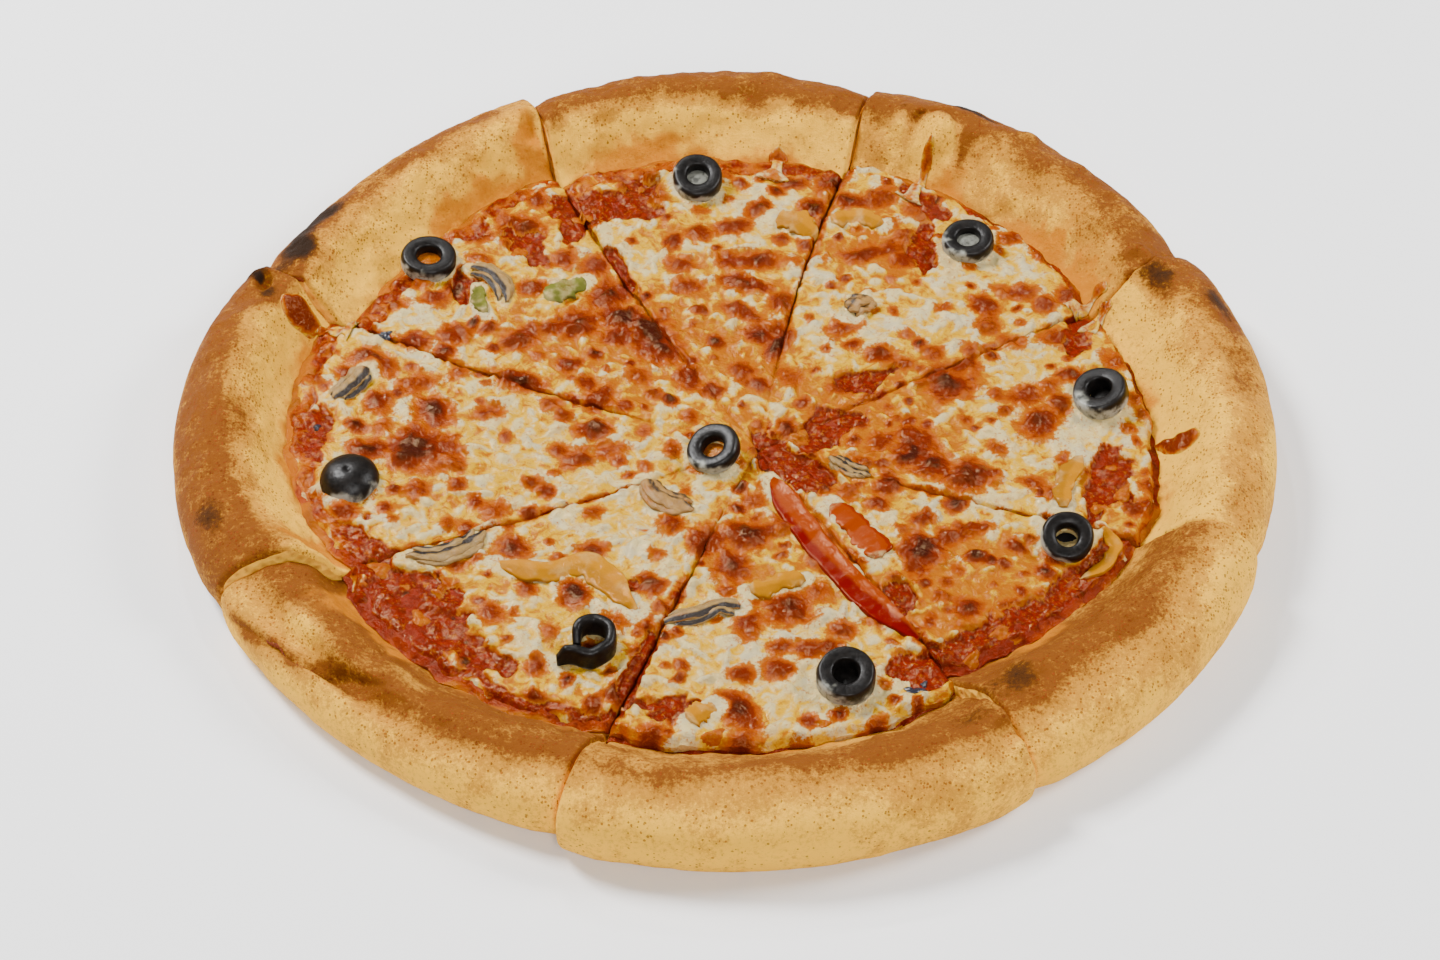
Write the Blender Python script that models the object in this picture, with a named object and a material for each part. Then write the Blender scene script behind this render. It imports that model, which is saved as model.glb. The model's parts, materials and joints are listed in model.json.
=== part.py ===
"""Vegetarian pizza, cut into eight slices that still keep the shape of the round.

The round is drawn in millimetres about its own centre and turned into metres when a
mesh is made. Each slice has three nodes, dough, sauce and cheese, and each topping that
lies on the cheese is a node of its own.
"""
import math
import random

import bmesh
import bpy
from mathutils import Vector
from mathutils.bvhtree import BVHTree

MM = 0.001
OBJECT_NAME = "vegetarian_pizza"

# Driving sizes in millimetres
CLEARANCE = 0.35
BASE_TOP = 7.0
SAUCE_THICK = 1.7
CHEESE_THICK = 3.4
HUB = (9.0, -7.0)

# Cuts: angle at the rim, sideways bow of the cut, half width at the hub and at the rim
CUTS = (
    (26.0, 1.0, 0.25, 0.45),
    (72.0, 4.0, 0.25, 0.50),
    (114.0, 4.0, 0.25, 0.70),
    (156.0, 5.0, 0.25, 0.60),
    (205.0, 2.5, 0.25, 0.50),
    (253.0, 0.5, 0.30, 0.90),
    (302.0, 0.0, 0.25, 0.60),
    (340.5, -2.5, 0.25, 0.45),
)

# Slices: each size at the first cut, half way and at the second cut
SLICES = (
    {"name": "far_right", "radius": (150.5, 152.5, 150.5), "crest": (24.0, 25.0, 25.0),
     "rim": (36.0, 34.0, 32.0)},
    {"name": "far", "radius": (150.5, 152.0, 150.0), "crest": (24.0, 25.5, 24.0),
     "rim": (35.0, 35.0, 33.0)},
    {"name": "far_left", "radius": (151.5, 149.0, 148.5), "crest": (25.0, 24.0, 22.0),
     "rim": (32.0, 34.0, 35.0)},
    {"name": "left", "radius": (150.0, 152.3, 150.0), "crest": (23.0, 25.0, 24.0),
     "rim": (31.0, 34.0, 41.0)},
    {"name": "near_left", "radius": (147.5, 146.0, 146.5), "crest": (20.5, 19.5, 21.5),
     "rim": (37.0, 34.0, 37.0)},
    {"name": "near", "radius": (148.0, 150.5, 149.0), "crest": (22.5, 24.0, 23.0),
     "rim": (38.0, 39.0, 40.0)},
    {"name": "near_right", "radius": (148.0, 150.0, 151.0), "crest": (22.0, 23.5, 24.0),
     "rim": (44.0, 42.0, 36.0)},
    {"name": "right", "radius": (151.5, 152.3, 151.0), "crest": (24.0, 25.0, 24.0),
     "rim": (33.0, 37.0, 38.0)},
)

# Swellings and dents of the crust: angle, distance in from the rim, half width along the
# rim, half width across it, height
CRUST_SWELLS = (
    (63.5, 15.0, 7.0, 12.0, 2.2),
    (56.0, 21.0, 5.0, 9.0, -1.8),
    (152.0, 14.0, 8.0, 9.0, 1.6),
    (158.5, 12.0, 5.0, 6.0, -2.6),
    (143.0, 22.0, 12.0, 9.0, -1.6),
    (174.0, 13.0, 18.0, 10.0, 0.8),
    (212.0, 24.0, 12.0, 7.0, 3.4),
    (222.0, 9.0, 20.0, 5.0, -4.5),
    (237.0, 16.0, 14.0, 11.0, 1.4),
    (268.0, 14.0, 16.0, 9.0, 0.9),
    (309.0, 27.0, 10.0, 8.0, 2.6),
    (330.0, 22.0, 12.0, 8.0, 1.0),
    (352.0, 16.0, 14.0, 9.0, 0.8),
    (94.0, 13.0, 13.0, 9.0, 0.7),
)

STATIONS = 11
BASE_RINGS = 4
SAUCE_STATIONS = 7
CHEESE_STATIONS = 11
CHEESE_RINGS = 6
WAVE_SEED = 11


def clear_scene():
    """Remove everything that the start-up file holds."""
    for obj in list(bpy.data.objects):
        bpy.data.objects.remove(obj, do_unlink=True)
    for mesh in list(bpy.data.meshes):
        bpy.data.meshes.remove(mesh)


def food_collection():
    """Collection that holds every node of the pizza."""
    collection = bpy.data.collections.new(OBJECT_NAME)
    bpy.context.scene.collection.children.link(collection)
    return collection


def material(name, colour, roughness):
    """Plain material with the food's own colour."""
    made = bpy.data.materials.get(name)
    if made is None:
        made = bpy.data.materials.new(name)
        made.use_nodes = True
        shader = made.node_tree.nodes["Principled BSDF"]
        shader.inputs["Base Color"].default_value = (*colour, 1.0)
        shader.inputs["Roughness"].default_value = roughness
        shader.inputs["Metallic"].default_value = 0.0
    return made


def baked_dough():
    """Golden baked dough."""
    return material("baked_dough", (0.68, 0.38, 0.15), 0.75)


def tomato_sauce():
    """Cooked tomato sauce."""
    return material("tomato_sauce", (0.42, 0.04, 0.008), 0.4)


def melted_cheese():
    """Melted cheese with browned spots."""
    return material("melted_cheese", (0.83, 0.60, 0.30), 0.35)


def black_olive():
    """Shiny black olive."""
    return material("black_olive", (0.015, 0.017, 0.022), 0.3)


def cooked_mushroom():
    """Cooked mushroom flesh."""
    return material("cooked_mushroom", (0.42, 0.30, 0.18), 0.5)


def red_pepper():
    """Red bell pepper."""
    return material("red_pepper", (0.62, 0.04, 0.008), 0.3)


def yellow_pepper():
    """Yellow bell pepper."""
    return material("yellow_pepper", (0.75, 0.33, 0.008), 0.3)


def green_pepper():
    """Green bell pepper."""
    return material("green_pepper", (0.12, 0.14, 0.02), 0.35)


def orange_pepper():
    """Orange pepper flesh soaked in oil."""
    return material("orange_pepper", (0.70, 0.16, 0.012), 0.3)


def blend(values, share):
    """Smooth value through three sizes: at 0, at a half and at 1."""
    first, middle, last = values
    bend = 4.0 * middle - 2.0 * first - 2.0 * last
    return first + (last - first) * share + bend * share * (1.0 - share)


def smooth(value):
    """Smooth step from 0 to 1."""
    value = min(1.0, max(0.0, value))
    return value * value * (3.0 - 2.0 * value)


def hump(distance):
    """Rounded bump of height 1 that ends at distance 1."""
    if abs(distance) >= 1.0:
        return 0.0
    return (1.0 - distance * distance) ** 2


def angle_gap(first, second):
    """Signed difference of two angles in degrees."""
    return (first - second + 180.0) % 360.0 - 180.0


def make_waves(seed, count, longest, shortest):
    """A few seeded sine waves for the gentle unevenness of the food."""
    draw = random.Random(seed)
    waves = []
    for _ in range(count):
        turn = draw.uniform(0.0, math.tau)
        size = math.tau / draw.uniform(shortest, longest)
        waves.append((math.cos(turn) * size, math.sin(turn) * size, draw.uniform(0.0, math.tau)))
    return waves


WAVES = make_waves(WAVE_SEED, 7, 70.0, 32.0)


def unevenness(x, y):
    """Gentle waves between about -1 and 1."""
    total = sum(math.sin(a * x + b * y + c) for a, b, c in WAVES)
    return total / math.sqrt(len(WAVES) * 2.0)


def cut_ray(index):
    """Length and turn of the straight line from the hub to a cut's rim end."""
    angle = math.radians(CUTS[index][0])
    dx = 150.0 * math.cos(angle) - HUB[0]
    dy = 150.0 * math.sin(angle) - HUB[1]
    return math.hypot(dx, dy), math.atan2(dy, dx)


def cut_turn(index, reach, side):
    """Turn about the hub of one face of a cut at a reach; side is 1 or -1."""
    length, turn = cut_ray(index)
    _, bow, near, far = CUTS[index]
    share = min(1.0, reach / length)
    half = near + (far - near) * share
    offset = bow * math.sin(math.pi * share) + side * half
    return turn + math.asin(max(-0.9, min(0.9, offset / reach)))


def slice_turns(index, reach):
    """Turns of a slice's two cut faces at a reach from the hub."""
    first = cut_turn(index, reach, 1.0)
    second = cut_turn((index + 1) % len(CUTS), reach, -1.0)
    while second < first:
        second += math.tau
    while second - first > math.pi:
        second -= math.tau
    return first, second


def tip_reach(index):
    """Reach at which a slice's two cut faces meet."""
    reach = 0.4
    for _ in range(60):
        first = cut_turn(index, reach, 1.0)
        second = cut_turn((index + 1) % len(CUTS), reach, -1.0)
        width = (second - first) % math.tau
        if 0.02 < width < math.pi:
            return reach
        reach += 0.1
    return reach


def slice_share(index, angle):
    """Share of the way round a slice, 0 at its first cut and 1 at its second."""
    first = CUTS[index][0]
    span = (CUTS[(index + 1) % len(CUTS)][0] - first) % 360.0
    return min(1.0, max(0.0, ((angle - first + 90.0) % 360.0 - 90.0) / span))


def rim_radius(index, angle):
    """Outer radius of a slice at an angle; its corners draw in a little at the cuts."""
    share = slice_share(index, angle)
    corner = min(share, 1.0 - share)
    draw_in = 1.1 * (1.0 - smooth(corner / 0.09))
    return blend(SLICES[index]["radius"], share) - draw_in


def rim_reach(index, turn):
    """Reach from the hub to the slice's outer edge along a turn, and the angle there."""
    reach = 150.0
    angle = 0.0
    for _ in range(8):
        x = HUB[0] + reach * math.cos(turn)
        y = HUB[1] + reach * math.sin(turn)
        angle = math.degrees(math.atan2(y, x))
        reach += rim_radius(index, angle) - math.hypot(x, y)
    return reach, angle


def swell(angle, inset):
    """Height that the crust's swellings add."""
    total = 0.0
    for centre, depth, along, across, height in CRUST_SWELLS:
        part = hump(angle_gap(angle, centre) / along)
        total += height * part * hump((inset - depth) / across)
    return total


def crust_profile(index, angle):
    """Closed outline of the crust from its inner foot over the crest to the flat base."""
    share = slice_share(index, angle)
    crest = blend(SLICES[index]["crest"], share)
    rim = blend(SLICES[index]["rim"], share)
    crest_in = 0.42 * rim
    outline = []
    for part in (1.0, 0.86, 0.72, 0.58, 0.44, 0.30, 0.15, 0.0):
        inset = crest_in + (rim - crest_in) * part
        rise = smooth(1.0 - part) ** 0.85
        outline.append((inset, BASE_TOP + (crest - BASE_TOP) * rise))
    side = 0.44 * crest
    for step in (0.24, 0.48, 0.70, 0.88, 1.0):
        lean = step * math.pi / 2.0
        inset = crest_in * (1.0 - math.sin(lean) ** 1.1)
        outline.append((inset, side + (crest - side) * math.cos(lean) ** 0.8))
    for step in (0.35, 0.70):
        lean = step * math.pi / 2.0
        inset = 6.5 * (1.0 - math.cos(lean))
        outline.append((inset, side - side * math.sin(lean)))
    outline.append((8.0, 0.0))
    return [(inset, max(0.0, height) + (swell(angle, inset) if height > side else 0.0))
            for inset, height in outline]


def station_turn(index, reach, share):
    """Turn of a station at a reach, between the slice's two cut faces."""
    first, second = slice_turns(index, reach)
    return first + (second - first) * share


def place(turn, reach, height):
    """Point in metres at a turn and reach from the hub."""
    x = HUB[0] + reach * math.cos(turn)
    y = HUB[1] + reach * math.sin(turn)
    return Vector((x * MM, y * MM, height * MM))


def station_rim(index, share):
    """Rim reach and angle of a station, found where its own turn meets the edge."""
    reach = 140.0
    angle = 0.0
    for _ in range(6):
        reach, angle = rim_reach(index, station_turn(index, reach, share))
    return reach, angle


def new_object(name, bm, collection, surface):
    """Turn a closed bmesh into a named object with its material."""
    bmesh.ops.triangulate(bm, faces=[f for f in bm.faces if len(f.verts) > 3])
    bmesh.ops.recalc_face_normals(bm, faces=bm.faces)
    mesh = bpy.data.meshes.new(name)
    bm.to_mesh(mesh)
    bm.free()
    obj = bpy.data.objects.new(name, mesh)
    obj.data.materials.append(surface)
    collection.objects.link(obj)
    return obj


def skin_columns(bm, columns):
    """Join columns of points, each a closed loop, into one closed body with two ends."""
    made = [[bm.verts.new(point) for point in column] for column in columns]
    count = len(made[0])
    for left, right in zip(made, made[1:]):
        for k in range(count):
            after = (k + 1) % count
            corners = []
            for vert in (left[k], left[after], right[after], right[k]):
                if vert not in corners:
                    corners.append(vert)
            bm.faces.new(corners)
    return made


def close_end(bm, loop, pairs):
    """Close the cut face of a slice: strips between top and bottom, then the crust's end."""
    count = len(loop)
    for k in range(pairs):
        bm.faces.new((loop[k], loop[k + 1], loop[count - 2 - k], loop[count - 1 - k]))
    bm.faces.new(loop[pairs:count - pairs])


def dough_slice(index, collection):
    """Baked dough of one slice: flat base, inner wall, crest and outer side."""
    bm = bmesh.new()
    tip = tip_reach(index)
    columns = []
    for station in range(STATIONS + 1):
        share = station / STATIONS
        reach_out, angle = station_rim(index, share)
        outline = crust_profile(index, angle)
        foot = reach_out - outline[0][0]
        rings = [tip + (foot - tip) * (k / BASE_RINGS) ** 1.1 for k in range(BASE_RINGS)]
        column = []
        for reach in rings:
            turn = station_turn(index, reach, share)
            column.append(place(turn, reach, BASE_TOP))
        for inset, height in outline:
            reach = reach_out - inset
            turn = station_turn(index, reach, share)
            column.append(place(turn, reach, height))
        turn = station_turn(index, foot, share)
        column.append(place(turn, foot, 0.0))
        for reach in reversed(rings):
            turn = station_turn(index, reach, share)
            column.append(place(turn, reach, 0.0))
        columns.append(column)
    made = skin_columns(bm, columns)
    close_end(bm, made[0], BASE_RINGS)
    close_end(bm, made[-1], BASE_RINGS)
    name = "dough_" + SLICES[index]["name"]
    return new_object(name, bm, collection, baked_dough())


def layer_edge(index, share, reach_out, rim, ragged):
    """Reach of a layer's outer edge, ragged by a few millimetres."""
    turn = station_turn(index, reach_out - rim, share)
    x = HUB[0] + (reach_out - rim) * math.cos(turn)
    y = HUB[1] + (reach_out - rim) * math.sin(turn)
    return reach_out - rim - ragged * (0.6 + 0.6 * unevenness(3.0 * x, 3.0 * y))


def wedge_layer(index, stations, rings, edge_of, bottom, top_of, edge_thick):
    """Closed wedge of a layer between its flat underside and an uneven top."""
    bm = bmesh.new()
    tip = tip_reach(index) + 1.2
    columns = []
    for station in range(stations + 1):
        share = station / stations
        edge = edge_of(share)
        reaches = [tip + (edge - tip) * k / rings for k in range(rings + 1)]
        top = []
        low = []
        for k, reach in enumerate(reaches):
            turn = station_turn(index, reach, share)
            x = HUB[0] + reach * math.cos(turn)
            y = HUB[1] + reach * math.sin(turn)
            high = top_of(x, y) if k < rings else bottom + edge_thick
            top.append(place(turn, reach, high))
            low.append(place(turn, reach, bottom))
        columns.append(top + low[::-1])
    made = skin_columns(bm, columns)
    for loop in (made[0], made[-1]):
        count = len(loop)
        for k in range(rings):
            bm.faces.new((loop[k], loop[k + 1], loop[count - 2 - k], loop[count - 1 - k]))
    return bm


def sauce_slice(index, collection):
    """Tomato sauce of one slice, out to the foot of the crust."""
    def edge_of(share):
        reach_out, angle = station_rim(index, share)
        rim = blend(SLICES[index]["rim"], slice_share(index, angle))
        return layer_edge(index, share, reach_out, rim + 0.6, 0.8)

    bottom = BASE_TOP + CLEARANCE

    def top_of(_x, _y):
        return bottom + SAUCE_THICK

    bm = wedge_layer(index, SAUCE_STATIONS, 4, edge_of, bottom, top_of, 1.0)
    name = "sauce_" + SLICES[index]["name"]
    return new_object(name, bm, collection, tomato_sauce())


def cheese_slice(index, collection):
    """Melted cheese of one slice, short of the sauce's edge and uneven on top."""
    def edge_of(share):
        reach_out, angle = station_rim(index, share)
        rim = blend(SLICES[index]["rim"], slice_share(index, angle))
        return layer_edge(index, share, reach_out, rim + 4.0, 6.0)

    bottom = BASE_TOP + CLEARANCE + SAUCE_THICK + CLEARANCE

    def top_of(x, y):
        return bottom + CHEESE_THICK + 0.55 * unevenness(x, y)

    bm = wedge_layer(index, CHEESE_STATIONS, CHEESE_RINGS, edge_of, bottom, top_of, 1.6)
    name = "cheese_" + SLICES[index]["name"]
    return new_object(name, bm, collection, melted_cheese())


def surface_tree(objects):
    """One search tree over the surfaces that toppings lie on."""
    points = []
    faces = []
    for obj in objects:
        start = len(points)
        points.extend(vert.co.copy() for vert in obj.data.vertices)
        faces.extend([start + k for k in face.vertices] for face in obj.data.polygons)
    return BVHTree.FromPolygons(points, faces)


def height_below(tree, x, y):
    """Height in millimetres of the food under a point, or None."""
    hit = tree.ray_cast(Vector((x * MM, y * MM, 0.06)), Vector((0.0, 0.0, -1.0)))
    return None if hit[0] is None else hit[0].z / MM


def rest_on(bm, tree, gap=CLEARANCE):
    """Lower or raise a topping until its closest point clears the food by the gap."""
    lift = None
    points = [vert.co for vert in bm.verts]
    for face in bm.faces:
        points.append(face.calc_center_median())
    for edge in bm.edges:
        points.append((edge.verts[0].co + edge.verts[1].co) * 0.5)
    for point in points:
        under = height_below(tree, point.x / MM, point.y / MM)
        if under is None:
            continue
        need = under + gap - point.z / MM
        lift = need if lift is None else max(lift, need)
    for vert in bm.verts:
        vert.co.z += (lift + 0.05) * MM


def ring_points(count, radius, height):
    """Points of a level circle in millimetres."""
    return [(radius * math.cos(math.tau * k / count), radius * math.sin(math.tau * k / count),
             height) for k in range(count)]


def turned_body(sections, count, closed_hole):
    """Body of revolution from a list of (radius, height); closed_hole joins last to first."""
    bm = bmesh.new()
    rings = []
    for radius, height in sections:
        rings.append([bm.verts.new(point) for point in ring_points(count, radius, height)])
    pairs = list(zip(rings, rings[1:]))
    if closed_hole:
        pairs.append((rings[-1], rings[0]))
    for low, high in pairs:
        for k in range(count):
            after = (k + 1) % count
            bm.faces.new((low[k], low[after], high[after], high[k]))
    if not closed_hole:
        bm.faces.new(rings[0])
        bm.faces.new(rings[-1])
    return bm


def move_body(bm, x, y, spin, tilt, tilt_way):
    """Spin, tilt and shift a body made at the origin, and turn it into metres."""
    spun = math.radians(spin)
    way = math.radians(tilt_way)
    lean = math.radians(tilt)
    for vert in bm.verts:
        px = vert.co.x * math.cos(spun) - vert.co.y * math.sin(spun)
        py = vert.co.x * math.sin(spun) + vert.co.y * math.cos(spun)
        along = px * math.cos(way) + py * math.sin(way)
        aside = -px * math.sin(way) + py * math.cos(way)
        low = along * math.cos(lean) + vert.co.z * math.sin(lean)
        high = -along * math.sin(lean) + vert.co.z * math.cos(lean)
        px = low * math.cos(way) - aside * math.sin(way)
        py = low * math.sin(way) + aside * math.cos(way)
        vert.co = Vector(((px + x) * MM, (py + y) * MM, high * MM))


def olive_ring(name, x, y, radius, tall, tilt, way, tree, collection):
    """Sliced olive: a short barrel with a round hole."""
    hole = 0.40 * radius
    edge = 0.9
    sections = (
        (hole + 0.3, 0.0),
        (radius - edge, 0.0),
        (radius, edge),
        (radius + 0.15, tall * 0.5),
        (radius - 0.2, tall - edge),
        (radius - edge - 0.3, tall),
        (hole + 0.5, tall),
        (hole, tall * 0.5),
    )
    bm = turned_body(sections, 18, True)
    move_body(bm, x, y, 0.0, tilt, way)
    rest_on(bm, tree)
    return new_object(name, bm, collection, black_olive())


def olive_end(name, x, y, radius, tree, collection):
    """Domed end piece of an olive, dome up."""
    tall = 0.78 * radius
    sections = [(radius * 0.93, 0.0)]
    for step in range(6):
        lean = step * math.pi / 2.0 / 6.0
        sections.append((radius * math.cos(lean), 1.0 + (tall - 1.0) * math.sin(lean)))
    sections.append((radius * 0.10, tall))
    bm = turned_body(sections, 18, False)
    move_body(bm, x, y, 0.0, 8.0, 250.0)
    rest_on(bm, tree)
    return new_object(name, bm, collection, black_olive())


def swept_body(path, half_widths, thickness, arch):
    """Strip along a path of (x, y): flat below, arched above, with blunt ends."""
    bm = bmesh.new()
    columns = []
    count = len(path)
    for k, (x, y) in enumerate(path):
        before = path[max(0, k - 1)]
        after = path[min(count - 1, k + 1)]
        dx = after[0] - before[0]
        dy = after[1] - before[1]
        size = math.hypot(dx, dy)
        nx, ny = -dy / size, dx / size
        half = half_widths[k]
        column = []
        for across in (-1.0, -0.55, 0.0, 0.55, 1.0):
            high = thickness + arch * (1.0 - across * across)
            if abs(across) == 1.0:
                high *= 0.75
            column.append(Vector((x + nx * half * across, y + ny * half * across, high)))
        for across in (0.9, 0.0, -0.9):
            low = arch * (1.0 - across * across) * 0.8
            column.append(Vector((x + nx * half * across, y + ny * half * across, low)))
        columns.append(column)
    made = skin_columns(bm, columns)
    for loop in (made[0], made[-1]):
        bm.faces.new((loop[0], loop[1], loop[6], loop[7]))
        bm.faces.new((loop[1], loop[2], loop[6]))
        bm.faces.new((loop[2], loop[3], loop[6]))
        bm.faces.new((loop[3], loop[4], loop[5], loop[6]))
    return bm


def curve_path(points, count):
    """Smooth path through a few named points (Catmull-Rom)."""
    path = []
    last = len(points) - 1
    for k in range(count):
        place_on = k * last / (count - 1)
        cell = min(last - 1, int(place_on))
        share = place_on - cell
        p0 = points[max(0, cell - 1)]
        p1 = points[cell]
        p2 = points[cell + 1]
        p3 = points[min(last, cell + 2)]
        here = []
        for axis in (0, 1):
            a = 2.0 * p1[axis]
            b = (p2[axis] - p0[axis]) * share
            c = (2.0 * p0[axis] - 5.0 * p1[axis] + 4.0 * p2[axis] - p3[axis]) * share ** 2
            d = (3.0 * p1[axis] - p0[axis] - 3.0 * p2[axis] + p3[axis]) * share ** 3
            here.append(0.5 * (a + b + c + d))
        path.append(tuple(here))
    return path


def strip(name, points, half_width, thickness, arch, surface, tree, collection, taper=0.45,
          count=9):
    """Pepper or mushroom strip that follows the cheese's height along its length."""
    path = curve_path(points, count)
    widths = []
    for k in range(count):
        end = min(k, count - 1 - k) / (count - 1)
        widths.append(half_width * (taper + (1.0 - taper) * smooth(end / 0.22)))
    bm = swept_body(path, widths, thickness, arch)
    for vert in bm.verts:
        vert.co *= MM
    drape(bm, path, tree)
    rest_on(bm, tree)
    return new_object(name, bm, collection, surface)


def drape(bm, path, tree):
    """Lift each part of a strip by the smoothed height of the food under it."""
    heights = []
    for x, y in path:
        under = height_below(tree, x, y)
        heights.append(12.0 if under is None else under)
    count = len(heights)
    soft = []
    for k in range(count):
        near = heights[max(0, k - 1):min(count, k + 2)]
        soft.append(sum(near) / len(near))
    per = len(bm.verts) // count
    for number, vert in enumerate(bm.verts):
        vert.co.z += soft[number // per] * MM


def crust_patch(name, angle, inset, half_along, half_across, thickness, surface, tree,
                collection):
    """Baked-on patch that lies on the crust: rounded outline, domed top."""
    rings = 3
    around = 14
    bm = bmesh.new()
    outer = rim_radius(3 if angle > 100.0 else 7, angle) - inset
    turn = math.radians(angle)
    cx, cy = outer * math.cos(turn), outer * math.sin(turn)
    top_rows = []
    low_rows = []
    for ring in range(1, rings + 1):
        size = ring / rings
        top_row = []
        low_row = []
        for k in range(around):
            spin = math.tau * k / around
            wobble = 1.0 + 0.12 * math.sin(2.0 * spin + 0.6)
            along = half_along * size * wobble * math.cos(spin)
            across = half_across * size * wobble * math.sin(spin)
            x = cx + across * math.cos(turn) - along * math.sin(turn)
            y = cy + across * math.sin(turn) + along * math.cos(turn)
            under = height_below(tree, x, y)
            low = under + 0.5
            high = low + thickness * (1.0 - 0.72 * size * size)
            low_row.append(bm.verts.new((x * MM, y * MM, low * MM)))
            top_row.append(bm.verts.new((x * MM, y * MM, high * MM)))
        top_rows.append(top_row)
        low_rows.append(low_row)
    under = height_below(tree, cx, cy) + 0.5
    peak = bm.verts.new((cx * MM, cy * MM, (under + thickness) * MM))
    foot = bm.verts.new((cx * MM, cy * MM, under * MM))
    for k in range(around):
        after = (k + 1) % around
        bm.faces.new((peak, top_rows[0][k], top_rows[0][after]))
        bm.faces.new((foot, low_rows[0][after], low_rows[0][k]))
        for rows in (top_rows, low_rows):
            for inner, outer_row in zip(rows, rows[1:]):
                bm.faces.new((inner[k], outer_row[k], outer_row[after], inner[after]))
        bm.faces.new((top_rows[-1][k], low_rows[-1][k], low_rows[-1][after],
                      top_rows[-1][after]))
    return new_object(name, bm, collection, surface)


def add_olives(tree, collection):
    """Seven olive rings, a domed end and a curled cut ring."""
    rings = (
        ("olive_far", -8.0, 103.5, 7.6, 5.0, 14.0, 270.0),
        ("olive_far_left", -86.0, 68.0, 7.8, 5.2, 8.0, 300.0),
        ("olive_far_right", 71.0, 75.0, 7.4, 5.0, 10.0, 250.0),
        ("olive_middle", -2.5, -12.0, 7.4, 4.4, 20.0, 215.0),
        ("olive_right", 105.0, 10.0, 7.9, 5.6, 16.0, 190.0),
        ("olive_near_right", 91.0, -44.5, 7.0, 5.4, 26.0, 268.0),
        ("olive_near", 31.0, -94.0, 7.8, 6.6, 12.0, 262.0),
    )
    for name, x, y, radius, tall, tilt, way in rings:
        olive_ring(name, x, y, radius, tall, tilt, way, tree, collection)
    olive_end("olive_end_left", -102.0, -21.0, 8.2, tree, collection)
    curl = ((-42.5, -88.5), (-39.0, -86.5), (-34.5, -89.0), (-30.5, -86.0), (-30.0, -80.5),
            (-33.5, -77.5), (-37.5, -79.0))
    strip("olive_curl_near_left", curl, 2.0, 5.0, 0.3, black_olive(), tree, collection,
          taper=0.7, count=13)


def add_mushrooms(tree, collection):
    """Cooked mushroom pieces."""
    pieces = (
        ("mushroom_far_left", ((-73.5, 66.0), (-67.5, 64.0), (-63.0, 57.5), (-62.5, 51.5)), 2.9),
        ("mushroom_left", ((-109.0, 12.0), (-104.5, 17.0), (-101.0, 23.5)), 2.8),
        ("mushroom_near_left", ((-85.0, -49.5), (-76.0, -49.5), (-68.0, -45.0),
                                (-64.5, -39.5)), 3.4),
        ("mushroom_middle", ((-22.5, -21.0), (-17.5, -28.0), (-8.5, -32.5)), 3.4),
        ("mushroom_near", ((-16.0, -73.0), (-7.5, -71.0), (-1.0, -67.5), (4.0, -68.5)), 2.9),
        ("mushroom_right", ((28.5, -11.5), (33.5, -16.0), (39.5, -19.0)), 2.4),
        ("mushroom_far_right", ((35.5, 46.0), (39.0, 49.5), (42.0, 53.0)), 3.4),
    )
    for name, points, half in pieces:
        strip(name, points, half, 1.7, 0.5, cooked_mushroom(), tree, collection, taper=0.5,
              count=8)


def add_peppers(tree, collection):
    """Bell pepper strips and pieces."""
    strip("pepper_red_long", ((12.5, -21.0), (18.0, -33.0), (27.0, -50.0), (37.5, -66.0),
                              (50.0, -79.5)),
          4.3, 2.2, 0.9, red_pepper(), tree, collection, taper=0.35, count=12)
    pieces = (
        ("pepper_yellow_far", ((15.5, 89.0), (20.5, 86.0), (27.0, 80.5)), 3.8, yellow_pepper()),
        ("pepper_orange_far", ((31.0, 86.5), (38.5, 88.0), (46.5, 85.0)), 3.0, yellow_pepper()),
        ("pepper_yellow_near_left", ((-61.0, -51.5), (-50.0, -55.0), (-37.5, -54.0),
                                     (-29.5, -60.5), (-23.5, -69.5)), 3.5, yellow_pepper()),
        ("pepper_yellow_near", ((6.5, -62.5), (13.0, -61.0), (21.0, -58.0)), 2.5,
         yellow_pepper()),
        ("pepper_yellow_near_edge", ((-9.5, -107.0), (-6.0, -104.5), (-2.5, -102.0)), 2.9,
         yellow_pepper()),
        ("pepper_yellow_right", ((97.5, -11.0), (93.0, -21.0), (91.0, -31.5)), 2.6,
         yellow_pepper()),
        ("pepper_yellow_near_right", ((100.5, -39.0), (104.0, -44.0), (101.5, -51.0),
                                      (94.0, -56.0)), 1.9, yellow_pepper()),
        ("pepper_green_far_left", ((-71.0, 58.0), (-70.5, 52.0), (-68.5, 47.0)), 2.0,
         green_pepper()),
        ("pepper_green_left", ((-51.0, 52.0), (-46.0, 57.0), (-40.0, 60.5)), 3.2,
         green_pepper()),
        ("pepper_orange_near_right", ((28.5, -30.5), (34.0, -37.0), (38.5, -44.5),
                                      (40.5, -51.0)), 4.4, orange_pepper()),
    )
    for name, points, half, surface in pieces:
        strip(name, points, half, 1.9, 0.6, surface, tree, collection)


def add_crust_spills(tree, collection):
    """Cheese blister and sauce drip baked on to the crust."""
    crust_patch("blister_crust_left", 160.6, 22.5, 3.9, 5.6, 2.2, tomato_sauce(), tree,
                collection)
    crust_patch("drip_crust_right", 356.8, 28.0, 2.4, 6.5, 1.5, tomato_sauce(), tree,
                collection)


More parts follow.
